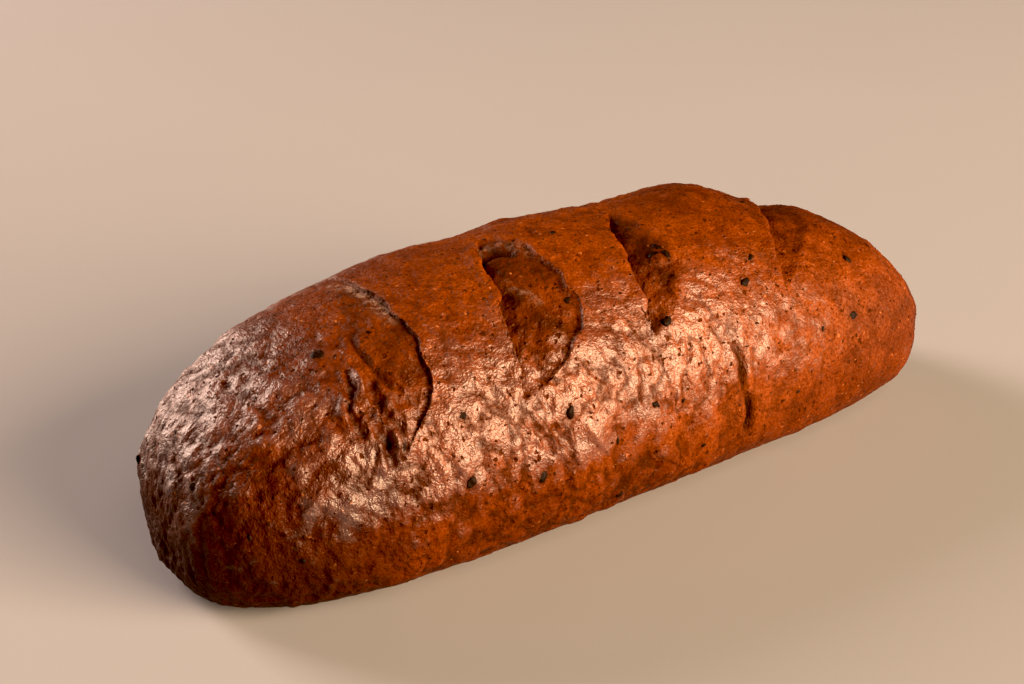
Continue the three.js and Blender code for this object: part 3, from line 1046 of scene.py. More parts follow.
def give(nodes, geometry, given, result):
    """Paints a tree's geometry and gives it out."""
    inputs = {"Geometry": geometry, "Material": given["Material"]}
    painted = nodes.add("GeometryNodeSetMaterial", inputs)
    nodes.feed(result["Geometry"], painted.outputs[0])


def centred(nodes, noise):
    """Noise from -1 to 1 instead of 0 to 1."""
    return nodes.weigh(noise["Fac"], 2.0, -1.0)


def lumps(nodes, place, grit):
    """Rounded lumps with sharp creases between them: 0 in a crease, rising to about 0.5."""
    upright = nodes.vector("MULTIPLY", place, LUMP_STRETCH)
    return nodes.math("ABSOLUTE", centred(nodes, nodes.noise(upright, grit)))


def slant_lumps(nodes, lean, grit):
    """Lumps drawn out over the crust, leaning along X as they go down the front."""
    over = read_mask(nodes, "over")
    across = nodes.weigh(over, -lean, read_mask(nodes, "along"))
    drawn = nodes.add("ShaderNodeCombineXYZ", {0: across, 1: nodes.times(over, SLANT_STRETCH)})
    return nodes.math("ABSOLUTE", centred(nodes, nodes.noise(drawn.outputs[0], grit)))


def creases_of(nodes, lump, width):
    """1 along the creases between lumps, 0 on the lumps."""
    return nodes.span(lump, width, 0.0)


def foot_calm(nodes, low, rough):
    """How much wrinkles keep of their height: less towards the base, apart from the rough ends."""
    even_low = nodes.times(low, nodes.left_by(rough))
    return nodes.span(even_low, 0.0, 1.0, 1.0, FOOT_WRINKLES)


def lift_of(nodes, lump, mask, rise):
    """How far lumps lift the crust, evenly up and down."""
    return nodes.times(nodes.math("SUBTRACT", lump, LUMP_MEAN), mask, rise)


def pits_of(nodes, place, depth):
    cells = nodes.cells(place, PIT_SPACING)
    pit = nodes.span(cells["Distance"], *PIT_RIM)
    return nodes.times(pit, nodes.span(cells["Color"], *PIT_CHANCE), depth)


def fine_lift(nodes, place, coarse, given):
    """How far crags, wrinkles, folds, pits and torn slash floors lift the crust."""
    uneven = read_mask(nodes, "uneven")
    rough = read_mask(nodes, "rough")
    wrinkled = nodes.weigh(rough, ROUGH_WRINKLES, uneven)
    wrinkled = nodes.times(wrinkled, foot_calm(nodes, read_mask(nodes, "low"), rough))
    crags = lift_of(nodes, coarse, uneven, given["Crag Rise"])
    wrinkle_drop = nodes.times(given["Wrinkle Rise"], -1.0)
    wrinkles = lift_of(nodes, lumps(nodes, place, FINE), wrinkled, wrinkle_drop)
    folded_crust = slant_lumps(nodes, FOLD_LEAN, FOLD)
    folds = lift_of(nodes, folded_crust, read_mask(nodes, "fold"), given["Fold Rise"])
    torn_crust = slant_lumps(nodes, TORN_LEAN, TORN_CRUST)
    torn = lift_of(nodes, torn_crust, read_mask(nodes, "torn"), given["Torn Rise"])
    lift = nodes.plus(nodes.plus(crags, wrinkles), nodes.plus(folds, torn))
    lift = nodes.math("SUBTRACT", lift, pits_of(nodes, place, given["Pit Depth"]))
    tears = centred(nodes, nodes.noise(place, TEAR))
    tears = nodes.times(tears, read_mask(nodes, "slash"), given["Tear Rise"])
    return nodes.times(nodes.plus(lift, tears), read_mask(nodes, "calm"))


def relief_tree():
    """Lifts the crust along its normal by its fine relief, and keeps what its material reads."""
    tree, nodes, given, result = new_tree("crust_relief", **{name: "Float" for name in RELIEF_SIZES})
    place = nodes.add("GeometryNodeInputPosition").outputs[0]
    coarse = lumps(nodes, place, COARSE)
    lift = fine_lift(nodes, place, coarse, given)
    swell = nodes.times(centred(nodes, nodes.noise(place, SWELL)), given["Swell"])
    offset = nodes.weigh(swell, read_mask(nodes, "calm"), lift)
    # Creases between the crags, which the material darkens with painted shade
    crease = nodes.times(creases_of(nodes, coarse, CRAG_CREASE), read_mask(nodes, "uneven"))
    crust = store(nodes, given["Geometry"], "dough", place, "FLOAT_VECTOR")
    crust = store(nodes, crust, "crease", crease)
    crust = store(nodes, crust, "lift", nodes.math("DIVIDE", lift, MM))
    normal = nodes.add("GeometryNodeInputNormal").outputs[0]
    inputs = {"Geometry": crust, "Offset": nodes.scale(normal, offset)}
    moved = nodes.add("GeometryNodeSetPosition", inputs)
    real = nodes.add("GeometryNodeRealizeInstances", {"Geometry": moved.outputs[0]})
    give(nodes, real.outputs[0], given, result)
    return tree


def set_on_points(nodes, points, subdivisions, rotation, size):
    """Sets a round grain on each point."""
    ball = nodes.add("GeometryNodeMeshIcoSphere", {"Radius": UNIT_RADIUS, "Subdivisions": subdivisions})
    inputs = {"Points": points, "Instance": ball.outputs["Mesh"], "Rotation": rotation, "Scale": size}
    return nodes.add("GeometryNodeInstanceOnPoints", inputs).outputs[0]


def kernel_tree():
    """One uneven egg for each seat, lying in the crust, realized and painted."""
    tree, nodes, given, result = new_tree("kernel_setting", lumpiness="Float")
    axes = {
        "Primary Axis": read_mask(nodes, "facing", "FLOAT_VECTOR"),
        "Secondary Axis": read_mask(nodes, "lie", "FLOAT_VECTOR"),
    }
    turn = nodes.add("FunctionNodeAxesToRotation", axes, primary_axis="Z", secondary_axis="X")
    size = read_mask(nodes, "size", "FLOAT_VECTOR")
    eggs = set_on_points(nodes, given["Geometry"], KERNEL_SUBDIVISIONS, turn.outputs[0], size)
    finish_scatter(nodes, eggs, KERNEL.lumps, given, result)
    return tree


def bran_tree():
    """Flecks of bran spread over the crust, realized and painted."""
    tree, nodes, given, result = new_tree(
        "bran_setting",
        spacing="Float",
        density="Float",
        smallest="Vector",
        largest="Vector",
        lumpiness="Float",
        seed="Int",
    )
    inputs = {
        "Mesh": given["Geometry"],
        "Distance Min": given["Spacing"],
        "Density Max": given["Density"],
        "Density Factor": read_mask(nodes, "calm"),
        "Seed": given["Seed"],
    }
    spread = nodes.add("GeometryNodeDistributePointsOnFaces", inputs, distribute_method="POISSON").outputs
    size = nodes.add("FunctionNodeRandomValue", data_type="FLOAT_VECTOR")
    nodes.feed(size.inputs[0], given["Smallest"])
    nodes.feed(size.inputs[1], given["Largest"])
    nodes.feed(size.inputs["Seed"], given["Seed"])
    flecks = set_on_points(nodes, spread["Points"], BRAN_SUBDIVISIONS, spread["Rotation"], size.outputs[0])
    finish_scatter(nodes, flecks, BRAN.lumps, given, result)
    return tree


def finish_scatter(nodes, instances, grit, given, result):
    """Makes instances real, roughens them, smooths their shading and gives them their material."""
    real = nodes.add("GeometryNodeRealizeInstances", {"Geometry": instances})
    place = nodes.add("GeometryNodeInputPosition").outputs[0]
    draw = nodes.vector("SUBTRACT", nodes.noise(place, grit)["Color"], MIDDLE_DRAW)
    inputs = {"Geometry": real.outputs[0], "Offset": nodes.scale(draw, given["Lumpiness"])}
    moved = nodes.add("GeometryNodeSetPosition", inputs)
    smooth = nodes.add("GeometryNodeSetShadeSmooth", {"Geometry": moved.outputs[0]})
    give(nodes, smooth.outputs[0], given, result)


def baked_noise(nodes, size, detail, roughness):
    place = nodes.add("ShaderNodeTexCoord").outputs["Object"]
    scale = nodes.math("DIVIDE", 1.0, size)
    inputs = {"Vector": place, "Scale": scale, "Detail": detail, "Roughness": roughness}
    return nodes.add("ShaderNodeTexNoise", inputs).outputs["Fac"]


def baked_grain_group():
    """Mottle and grain of a baked surface, shared by the crust and what is baked into it."""
    known = bpy.data.node_groups.get("baked_grain")
    if known:
        return known
    group = bpy.data.node_groups.new("baked_grain", "ShaderNodeTree")
    for name in ("Mottle Size", "Grain Size"):
        group.interface.new_socket(name, in_out="INPUT", socket_type="NodeSocketFloat")
    for name in ("Mottle", "Fine", "Grain"):
        group.interface.new_socket(name, in_out="OUTPUT", socket_type="NodeSocketFloat")
    nodes = Nodes(group)
    given = nodes.add("NodeGroupInput").outputs
    result = nodes.add("NodeGroupOutput").inputs
    mottle = baked_noise(nodes, given["Mottle Size"], *BAKED_MOTTLE)
    grain = baked_noise(nodes, given["Grain Size"], *BAKED_GRAIN)
    nodes.feed(result["Mottle"], nodes.span(mottle, *BAKED_EDGE))
    nodes.feed(result["Fine"], nodes.span(grain, *BAKED_EDGE))
    nodes.feed(result["Grain"], grain)
    return group


def add_grain(nodes, mottle_size, grain_size):
    inputs = {"Mottle Size": mottle_size * MM, "Grain Size": grain_size * MM}
    node = nodes.add("ShaderNodeGroup", inputs, node_tree=baked_grain_group())
    return node.outputs


def new_material(name):
    material = bpy.data.materials.new(name)
    material.use_nodes = True
    material.node_tree.nodes.clear()
    nodes = Nodes(material.node_tree)
    shader = nodes.add("ShaderNodeBsdfPrincipled")
    output = nodes.add("ShaderNodeOutputMaterial")
    nodes.feed(output.inputs["Surface"], shader.outputs["BSDF"])
    return material, nodes, shader.inputs


def surface_mask(nodes, name):
    return nodes.add("ShaderNodeAttribute", attribute_name=name).outputs["Fac"]


def colour(value):
    return (*value, 1.0)


def spot_cells(nodes, place, kind):
    """The distance from the nearest spot's middle, that spot's radius and a number drawn for it."""
    cells = nodes.cells(place, kind.spacing)
    draws = nodes.add("ShaderNodeSeparateColor", {"Color": cells["Color"]}).outputs
    radius = nodes.weigh(draws[0], kind.largest - kind.smallest, kind.smallest)
    return cells["Distance"], radius, draws[1]


def spots(nodes, place, kind):
    """Scattered round spots: 1 inside and 0 outside."""
    distance, radius, draw = spot_cells(nodes, place, kind)
    spot = nodes.span(nodes.math("SUBTRACT", radius, distance), -SPOT_EDGE, SPOT_EDGE)
    return nodes.times(spot, nodes.math("LESS_THAN", draw, kind.share))


def low_domes(nodes, place):
    """Scattered low domes, 1 at the top and 0 outside."""
    distance, radius, _ = spot_cells(nodes, place, DOMES)
    return nodes.span(distance, radius, 0.0)


def jogged(nodes, place):
    """A place moved about a little, which makes round things ragged."""
    draw = nodes.vector("SUBTRACT", nodes.noise(place, JOG)["Color"], MIDDLE_DRAW)
    return nodes.vector("ADD", place, nodes.scale(draw, JOG_REACH * MM))


def edged(nodes, place, grit, edge):
    """Blotches of noise: 1 inside and 0 outside."""
    return nodes.span(nodes.noise(place, grit)["Fac"], *edge)


def weighted(nodes, marks, weights):
    return [nodes.times(marks[name], weight) for name, weight in weights.items()]


def sheen_of(nodes, place, marks):
    """Where the crust is glossy: in plates, most of them on its crests and round the sides."""
    plates = nodes.plus(nodes.noise(place, PLATES)["Fac"], *weighted(nodes, marks, GLOSS))
    return nodes.most(nodes.span(plates, *PLATE_EDGE), marks["sleek"])


def crust_marks(nodes, place, grain):
    """What shows on the crust, by name."""
    marks = {name: surface_mask(nodes, name) for name in CRUST_MASKS}
    fine = lumps(nodes, place, FINE)
    wrinkled = nodes.times(marks["uneven"], foot_calm(nodes, marks["low"], marks["rough"]))
    ragged = jogged(nodes, place)
    marks.update(
        mottle=grain["Mottle"],
        fine=grain["Fine"],
        sheen=sheen_of(nodes, place, marks),
        pit=spots(nodes, ragged, PITS),
        speck=spots(nodes, ragged, SPECKS),
        pale=spots(nodes, ragged, PALE_FLECKS),
        dash=spots(nodes, nodes.vector("MULTIPLY", ragged, DASH_STRETCH), DASHES),
        dome=low_domes(nodes, ragged),
        broad=edged(nodes, place, BROAD, BROAD_EDGE),
        stain=nodes.times(edged(nodes, place, STAINS, STAIN_EDGE), marks["uneven"]),
        dust=nodes.times(edged(nodes, place, DUST, DUST_EDGE), marks["flour"]),
        # The next two marks are painted shade: in the hollows and at the foot of the rough ends
        hollow=nodes.span(marks["lift"], *HOLLOW_LIFT),
        burnt_foot=nodes.times(marks["rough"], marks["low"]),
        wrinkle=nodes.times(fine, wrinkled),
        # A painted highlight along the crests of the wrinkles
        crest=nodes.times(creases_of(nodes, fine, CREST_WIDTH), wrinkled),
        grit=nodes.noise(place, GRIT)["Fac"],
    )
    return marks


def crust_paint(nodes, looks, marks):
    """The crust's colour: its mottled ground with painted shade, the slash floors, then pale flecks and a
    painted highlight on crests, dark specks with painted shade, and flour.
    """
    deep = colour(looks.deep)
    gold = nodes.math("ADD", GOLD_BASE, nodes.plus(*weighted(nodes, marks, GOLD)), clamp=True)
    paint = nodes.blend(gold, deep, colour(looks.golden))
    paint = nodes.blend(nodes.times(marks["fine"], FINE_TONE), paint, deep)
    # Painted shade towards the base, both ends and the highest part of the crest
    paint = nodes.blend(marks["shade"], paint, colour(looks.low_shade), "MULTIPLY")
    slash_floor = nodes.blend(marks["mottle"], colour(looks.floor_dark), colour(looks.floor))
    paint = nodes.blend(marks["slash"], paint, slash_floor)
    # Pale flecks, and a painted highlight on the wrinkles' crests
    paint = nodes.blend(nodes.most(*weighted(nodes, marks, LIGHT)), paint, colour(looks.pale))
    # Dark specks, dashes and stains, and painted shade in hollows, creases, recesses, pits and at the rough
    # ends' foot
    paint = nodes.blend(nodes.most(*weighted(nodes, marks, DARK)), paint, colour(looks.specks_and_shade))
    return nodes.blend(marks["dust"], paint, colour(looks.flour))


def crust_dullness(nodes, looks, marks):
    dull = nodes.weigh(marks["fine"], FINE_DULL, looks.roughness)
    return nodes.weigh(nodes.most(marks["slash"], marks["dust"]), DRY_DULL, dull, clamp=True)


def crust_coat(nodes, looks, marks, grain):
    """Gloss of the plates and of a few grains between them, wherever the crust is whole."""
    whole = nodes.left_by(nodes.most(*(marks[name] for name in UNCOATED)), clamp=True)
    glints = nodes.span(grain["Grain"], *GLINT_EDGE, looks.glints, 0.0)
    glints = nodes.times(glints, nodes.left_by(marks["low"]))
    return nodes.times(nodes.most(marks["sheen"], glints), whole)


def crust_height(nodes, place, marks):
    """Relief too fine for the mesh, in millimetres."""
    sand_height = nodes.span(marks["sheen"], 0.0, 1.0, *SAND_HEIGHTS)
    sand = nodes.times(nodes.noise(place, SAND)["Fac"], sand_height)
    return nodes.plus(sand, *weighted(nodes, marks, HEIGHT))


def crust_material(looks):
    """Malted crust: mottled, specked and pitted, glossy in plates, darker with painted shade in its
    hollows, and darker in its slashes.
    """
    material, nodes, shader = new_material("malted_crust")
    grain = add_grain(nodes, CRUST_MOTTLE_SIZE, CRUST_GRAIN_SIZE)
    place = nodes.add("ShaderNodeAttribute", attribute_name="dough").outputs["Vector"]
    marks = crust_marks(nodes, place, grain)
    nodes.feed(shader["Base Color"], crust_paint(nodes, looks, marks))
    nodes.feed(shader["Roughness"], crust_dullness(nodes, looks, marks))
    nodes.feed(shader["Coat Weight"], crust_coat(nodes, looks, marks, grain))
    shader["Specular IOR Level"].default_value = looks.gloss
    shader["Specular Tint"].default_value = colour(looks.gloss_tint)
    shader["Coat Roughness"].default_value = looks.coat_roughness
    shader["Coat IOR"].default_value = looks.coat_ior
    height = crust_height(nodes, place, marks)
    bump = nodes.add("ShaderNodeBump", {"Height": height, "Distance": MM, "Strength": 1.0})
    for name in ("Normal", "Coat Normal"):
        nodes.feed(shader[name], bump.outputs["Normal"])
    return material


def grain_material(name, baked, dark, light):
    """A baked kernel or fleck of bran: dark, with paler streaks."""
    material, nodes, shader = new_material(name)
    grain = add_grain(nodes, BAKED_MOTTLE_SIZE, baked.grain_size)
    nodes.feed(shader["Base Color"], nodes.blend(grain["Mottle"], colour(dark), colour(light)))
    nodes.feed(shader["Roughness"], nodes.weigh(grain["Fine"], BAKED_DULL, baked.roughness, clamp=True))
    shader["Specular IOR Level"].default_value = BAKED_GLOSS
    inputs = {"Height": grain["Grain"], "Distance": BAKED_BUMP * MM, "Strength": BAKED_BUMP_STRENGTH}
    nodes.feed(shader["Normal"], nodes.add("ShaderNodeBump", inputs).outputs["Normal"])
    return material


def link_piece(name, data):
    piece = bpy.data.objects.new(name, data)
    bpy.context.scene.collection.objects.link(piece)
    return piece


def kernel_lengths(crust):
    """The kernel's length at each of the crust's points, 0 where there is none."""
    lengths = np.zeros(len(crust.vertices), np.float32)
    crust.attributes["seat"].data.foreach_get("value", lengths)
    return lengths


def seat_mesh(crust, sizes):
    """A vertex at each kernel's seat, with the way it faces, the way it lies and its size."""
    length = kernel_lengths(crust)
    at = np.flatnonzero(length > 0.0)
    length = length[at, None]
    points = np.array([crust.vertices[index].co for index in at])
    facing = np.array([crust.vertices[index].normal for index in at])
    draw = np.random.default_rng(SEAT_SEED)
    lie = np.cross(facing, draw.normal(size=facing.shape))
    lie /= np.linalg.norm(lie, axis=1, keepdims=True)
    width = length * (sizes.width_share + WIDTH_DRAW * draw.random(length.shape))
    thickness = length * sizes.thickness_share
    mesh = bpy.data.meshes.new("loaf_kernels")
    mesh.from_pydata(points - KERNEL_SINK * thickness * facing, [], [])
    vectors = {"facing": facing, "lie": lie, "size": np.hstack((length, width, thickness))}
    for name, values in vectors.items():
        attribute = mesh.attributes.new(name, "FLOAT_VECTOR", "POINT")
        attribute.data.foreach_set("vector", values.astype(np.float32).ravel())
    return mesh


class LoafForm(bpy.types.PropertyGroup):
    """Sizes of the loaf's plain form and of its relief."""

    length: bpy.props.FloatProperty(
        name="Length", description="From tip to tip", default=PLAIN_SIZE.x, unit="LENGTH")
    width: bpy.props.FloatProperty(
        name="Width", description="Across the fullest section", default=PLAIN_SIZE.y, unit="LENGTH")
    height: bpy.props.FloatProperty(
        name="Height", description="From the base to the ridge", default=PLAIN_SIZE.z, unit="LENGTH")
    belly_height: bpy.props.FloatProperty(
        name="Belly height", description="Level at which the loaf is widest", default=0.035, unit="LENGTH")
    tip_height: bpy.props.FloatProperty(
        name="Tip height", description="Level of both tips", default=0.024, unit="LENGTH")
    swell: bpy.props.FloatProperty(
        name="Swell", description="Broad unevenness of the crust", default=0.0011, unit="LENGTH")
    crag_rise: bpy.props.FloatProperty(
        name="Crag rise", description="Lumps of the uneven crust", default=0.0034, unit="LENGTH")
    wrinkle_rise: bpy.props.FloatProperty(
        name="Wrinkle rise", description="Fine wrinkles of the crust", default=0.0018, unit="LENGTH")
    fold_rise: bpy.props.FloatProperty(
        name="Fold rise", description="Slanting folds low on the front", default=0.0024, unit="LENGTH")
    torn_rise: bpy.props.FloatProperty(
        name="Torn rise", description="Torn wrinkles beside the first slash", default=0.008, unit="LENGTH")
    pit_depth: bpy.props.FloatProperty(
        name="Pit depth", description="Small pits in the crust", default=0.0004, unit="LENGTH")
    tear_rise: bpy.props.FloatProperty(
        name="Tear rise", description="Torn crumb of the slash floors", default=0.0018, unit="LENGTH")


RELIEF_SIZES = ("swell", "crag_rise", "wrinkle_rise", "fold_rise", "torn_rise", "pit_depth", "tear_rise")


class LoafLooks(bpy.types.PropertyGroup):
    """Colours and gloss of the crust."""

    golden: bpy.props.FloatVectorProperty(
        name="Golden", description="Lightest crust", default=(0.44, 0.098, 0.008), subtype="COLOR")
    deep: bpy.props.FloatVectorProperty(
        name="Deep", description="Darkest plain crust", default=(0.12, 0.0205, 0.003), subtype="COLOR")
    # Colour of the dark specks and of the painted shade in hollows, creases and recesses
    specks_and_shade: bpy.props.FloatVectorProperty(
        name="Scorched", description="Hollows and specks", default=(0.018, 0.004, 0.001), subtype="COLOR")
    # Colour of the painted shade towards the base, the ends and the highest part of the crest
    low_shade: bpy.props.FloatVectorProperty(
        name="Low shade", description="How the crust darkens to its base and its ends",
        default=(0.55, 0.48, 0.46), subtype="COLOR")
    floor: bpy.props.FloatVectorProperty(
        name="Slash floor", description="Lightest crust in the slashes",
        default=(0.185, 0.036, 0.003), subtype="COLOR")
    floor_dark: bpy.props.FloatVectorProperty(
        name="Dark slash floor", description="Darkest crust in the slashes",
        default=(0.04, 0.007, 0.0), subtype="COLOR")
    flour: bpy.props.FloatVectorProperty(
        name="Flour", description="Dust on the raised folds", default=(0.48, 0.33, 0.26), subtype="COLOR")
    pale: bpy.props.FloatVectorProperty(
        name="Pale", description="Pale flecks in the crust", default=(0.60, 0.22, 0.07), subtype="COLOR")
    gloss_tint: bpy.props.FloatVectorProperty(
        name="Gloss tint", description="Colour of the bare crust's reflections",
        default=(1.0, 0.66, 0.46), subtype="COLOR")
    roughness: bpy.props.FloatProperty(
        name="Roughness", description="Roughness of the bare crust", default=0.60, subtype="FACTOR")
    gloss: bpy.props.FloatProperty(
        name="Gloss", description="How strongly the bare crust reflects", default=0.15, subtype="FACTOR")
    glints: bpy.props.FloatProperty(
        name="Glints", description="Gloss of grains between the plates", default=0.12, subtype="FACTOR")
    coat_roughness: bpy.props.FloatProperty(
        name="Coat roughness", description="Roughness of the glossy plates", default=0.42, subtype="FACTOR")
    coat_ior: bpy.props.FloatProperty(
        name="Coat IOR", description="How strongly the glossy plates reflect", default=2.0)


class LoafGrain(bpy.types.PropertyGroup):
    """Kernels and bran baked into the crust."""

    kernels: bpy.props.IntProperty(name="Kernels", description="How many kernels show", default=52)
    width_share: bpy.props.FloatProperty(
        name="Width share", description="A kernel's least width over its length",
        default=0.7, subtype="FACTOR")
    thickness_share: bpy.props.FloatProperty(
        name="Thickness share", description="A kernel's thickness over its length",
        default=0.42, subtype="FACTOR")
    spacing: bpy.props.FloatProperty(
        name="Bran spacing", description="Least distance between flecks", default=0.0045, unit="LENGTH")
    density: bpy.props.FloatProperty(
        name="Bran density", description="Flecks to a square metre", default=18000.0)
    kernel_dark: bpy.props.FloatVectorProperty(
        name="Dark kernel", description="Darkest kernel", default=(0.006, 0.0025, 0.0015), subtype="COLOR")
    kernel_light: bpy.props.FloatVectorProperty(
        name="Light kernel", description="Lightest kernel", default=(0.016, 0.006, 0.003), subtype="COLOR")
    bran_dark: bpy.props.FloatVectorProperty(
        name="Dark bran", description="Darkest fleck", default=(0.025, 0.008, 0.003), subtype="COLOR")
    bran_light: bpy.props.FloatVectorProperty(
        name="Light bran", description="Lightest fleck", default=(0.12, 0.032, 0.006), subtype="COLOR")


class LoafStage(bpy.types.PropertyGroup):
    """Floor, lights and camera."""

    floor: bpy.props.FloatVectorProperty(
        name="Floor", description="Colour of the floor", default=(0.44, 0.485, 0.54), subtype="COLOR")
    key_power: bpy.props.FloatProperty(
        name="Key light", description="Soft light from the front right", default=470.0, unit="POWER")
    high_power: bpy.props.FloatProperty(
        name="High light", description="Soft light from high in front", default=26.0, unit="POWER")
    rim_power: bpy.props.FloatProperty(
        name="Rim light", description="Soft light from behind on the left", default=230.0, unit="POWER")
    fill: bpy.props.FloatProperty(name="Fill", description="Even light from all round", default=0.04)
    lens: bpy.props.FloatProperty(
        name="Lens", description="Focal length", default=50.0, subtype="DISTANCE_CAMERA", unit="CAMERA")


class BLOOMER_OT_crust(bpy.types.Operator):
    """Builds the slashed crust in place of the loaf's solid"""

    bl_idname = "bloomer.crust"
    bl_label = "Crust"

    def execute(self, context):
        sizes = context.scene.bloomer_form
        mesh = crust_mesh(PlainForm(sizes), context.scene.bloomer_grain.kernels)
        piece = link_piece("loaf_crust", mesh)
        material = crust_material(context.scene.bloomer_looks)
        rises = {name: getattr(sizes, name) for name in RELIEF_SIZES}
        run_tree(piece, relief_tree(), material=material, **rises)
        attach(piece, "root")
        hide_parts("loaf")
        return {"FINISHED"}


class BLOOMER_OT_kernels(bpy.types.Operator):
    """Sets a kernel in each of its seats in the crust"""

    bl_idname = "bloomer.kernels"
    bl_label = "Kernels"

    def execute(self, context):
        grain = context.scene.bloomer_grain
        piece = link_piece("loaf_kernels", seat_mesh(bpy.data.objects["loaf_crust"].data, grain))
        material = grain_material("baked_kernel", KERNEL, grain.kernel_dark, grain.kernel_light)
        run_tree(piece, kernel_tree(), lumpiness=KERNEL.lumpiness * MM, material=material)
        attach(piece, "root")
        return {"FINISHED"}


class BLOOMER_OT_bran(bpy.types.Operator):
    """Spreads flecks of bran over the crust"""

    bl_idname = "bloomer.bran"
    bl_label = "Bran"

    def execute(self, context):
        grain = context.scene.bloomer_grain
        piece = link_piece("loaf_bran", bpy.data.objects["loaf_crust"].data.copy())
        run_tree(
            piece,
            bran_tree(),
            spacing=grain.spacing,
            density=grain.density,
            smallest=BRAN_SMALLEST,
            largest=BRAN_LARGEST,
            lumpiness=BRAN.lumpiness * MM,
            seed=BRAN_SEED,
            material=grain_material("baked_bran", BRAN, grain.bran_dark, grain.bran_light),
        )
        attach(piece, "root")
        return {"FINISHED"}


# The view: the camera's place as seen from the point it looks at, in degrees and millimetres
VIEW_AZIMUTH = -36.553
VIEW_ELEVATION = 25.0
VIEW_DISTANCE = 531.7
VIEW_TARGET = Vector((-8.6, 19.0, 40.0)) * MM
VIEW_ROLL = 0.147
SENSOR_WIDTH = 36.0
CLIP_START = 0.01

# The stage, in metres
FLOOR_HALF = 40.0
FLOOR_SHADE = 0.94  # how much darker the floor is where it is darkest
FLOOR_CLOUD = Grit(400.0, 2.0)
FLOOR_ROUGHNESS = 0.85
FILL_TINT = (1.0, 0.82, 0.62)
LIGHT_DISTANCE = 4.0
BLACK_LEVEL = 0.008


class Softbox(NamedTuple):
    """A soft light: where it stands as seen from the loaf, in degrees, its size in metres and its tint."""

    azimuth: float
    elevation: float
    width: float
    height: float
    tint: tuple


KEY = Softbox(25.0, 19.0, 2.8, 2.2, (1.0, 0.64, 0.38))
HIGH = Softbox(0.0, 54.0, 2.0, 1.5, (1.0, 0.72, 0.48))
RIM = Softbox(-158.0, 22.0, 1.5, 2.6, (1.0, 0.68, 0.54))


def direction(azimuth, elevation):
    """A unit vector from the loaf. Azimuth 0 is -Y, 90 is +X, in degrees."""
    turn = math.radians(azimuth)
    tilt = math.radians(elevation)
    return Vector((math.sin(turn) * math.cos(tilt), -math.cos(turn) * math.cos(tilt), math.sin(tilt)))


def add_softbox(name, softbox, power):
    light = bpy.data.lights.new(name, "AREA")
    light.shape = "RECTANGLE"
    light.size = softbox.width
    light.size_y = softbox.height
    light.color = softbox.tint
    light.energy = power
    lamp = link_piece(name, light)
    back = direction(softbox.azimuth, softbox.elevation)
    lamp.location = VIEW_TARGET + back * LIGHT_DISTANCE
    lamp.rotation_euler = back.to_track_quat("Z", "Y").to_euler()


def add_camera(lens):
    data = bpy.data.cameras.new("view")
    data.lens = lens
    data.sensor_width = SENSOR_WIDTH
    data.clip_start = CLIP_START
    camera = link_piece("view", data)
    back = direction(VIEW_AZIMUTH, VIEW_ELEVATION)
    aim = back.to_track_quat("Z", "Y").to_matrix().to_4x4()
    roll = Matrix.Rotation(math.radians(VIEW_ROLL), 4, "Z")
    camera.matrix_world = Matrix.Translation(VIEW_TARGET + back * VIEW_DISTANCE * MM) @ aim @ roll
    bpy.context.scene.camera = camera


def floor_material(tint):
    material, nodes, shader = new_material("pale_floor")
    place = nodes.add("ShaderNodeTexCoord").outputs["Object"]
    cloud = nodes.noise(place, FLOOR_CLOUD)["Fac"]
    shade = tuple(FLOOR_SHADE * part for part in tint)
    nodes.feed(shader["Base Color"], nodes.blend(cloud, colour(shade), colour(tint)))
    shader["Roughness"].default_value = FLOOR_ROUGHNESS
    return material


def add_floor(tint):
    half = FLOOR_HALF
    mesh = bpy.data.meshes.new("floor")
    corners = ((-half, -half, 0), (half, -half, 0), (half, half, 0), (-half, half, 0))
    mesh.from_pydata(corners, [], [(0, 1, 2, 3)])
    mesh.materials.append(floor_material(tint))
    link_piece("floor", mesh)


def add_fill(strength):
    world = bpy.data.worlds.new("fill")
    world.use_nodes = True
    backdrop = world.node_tree.nodes["Background"]
    backdrop.inputs["Color"].default_value = colour(FILL_TINT)
    backdrop.inputs["Strength"].default_value = strength
    bpy.context.scene.world = world


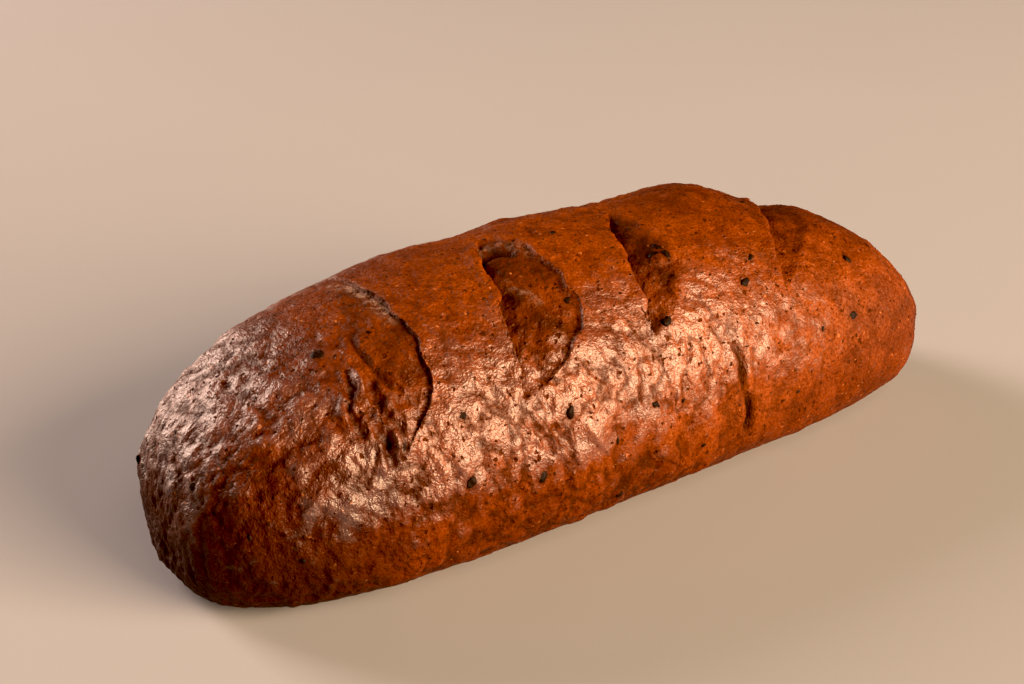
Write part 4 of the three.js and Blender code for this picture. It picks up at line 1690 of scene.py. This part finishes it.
def set_contrast(view):
    """Plain colours, with the faintest light drawn down to black."""
    view.view_transform = "Standard"
    view.use_curve_mapping = True
    view.curve_mapping.black_level = (BLACK_LEVEL, BLACK_LEVEL, BLACK_LEVEL)
    view.curve_mapping.update()


class BLOOMER_OT_stage(bpy.types.Operator):
    """Sets the floor, the soft lights and the camera"""

    bl_idname = "bloomer.stage"
    bl_label = "Stage"

    def execute(self, context):
        stage = context.scene.bloomer_stage
        add_floor(stage.floor)
        add_softbox("key_softbox", KEY, stage.key_power)
        add_softbox("high_softbox", HIGH, stage.high_power)
        add_softbox("rim_softbox", RIM, stage.rim_power)
        add_fill(stage.fill)
        add_camera(stage.lens)
        set_contrast(context.scene.view_settings)
        return {"FINISHED"}


class BLOOMER_PT_panel(bpy.types.Panel):
    """Lists the loaf's settings and the steps that build it"""

    bl_label = "Bloomer loaf"
    bl_idname = "BLOOMER_PT_panel"
    bl_space_type = "VIEW_3D"
    bl_region_type = "UI"
    bl_category = "Bloomer"

    def draw(self, context):
        for owner in SETTINGS:
            group = getattr(context.scene, owner)
            box = self.layout.box()
            for name in group.__annotations__:
                box.prop(group, name)
        for operator in STEPS:
            self.layout.operator(operator.bl_idname)


SETTINGS = {
    "bloomer_form": LoafForm,
    "bloomer_looks": LoafLooks,
    "bloomer_grain": LoafGrain,
    "bloomer_stage": LoafStage,
}
STEPS = (BLOOMER_OT_crust, BLOOMER_OT_kernels, BLOOMER_OT_bran, BLOOMER_OT_stage)
CLASSES = (*SETTINGS.values(), *STEPS, BLOOMER_PT_panel)


def register():
    for entry in CLASSES:
        bpy.utils.register_class(entry)
    for name, group in SETTINGS.items():
        setattr(bpy.types.Scene, name, bpy.props.PointerProperty(type=group))


def unregister():
    for name in SETTINGS:
        delattr(bpy.types.Scene, name)
    for entry in reversed(CLASSES):
        bpy.utils.unregister_class(entry)


def main():
    register()
    bpy.ops.bloomer.crust()
    bpy.ops.bloomer.kernels()
    bpy.ops.bloomer.bran()
    bpy.ops.bloomer.stage()


if __name__ == "__main__":
    main()
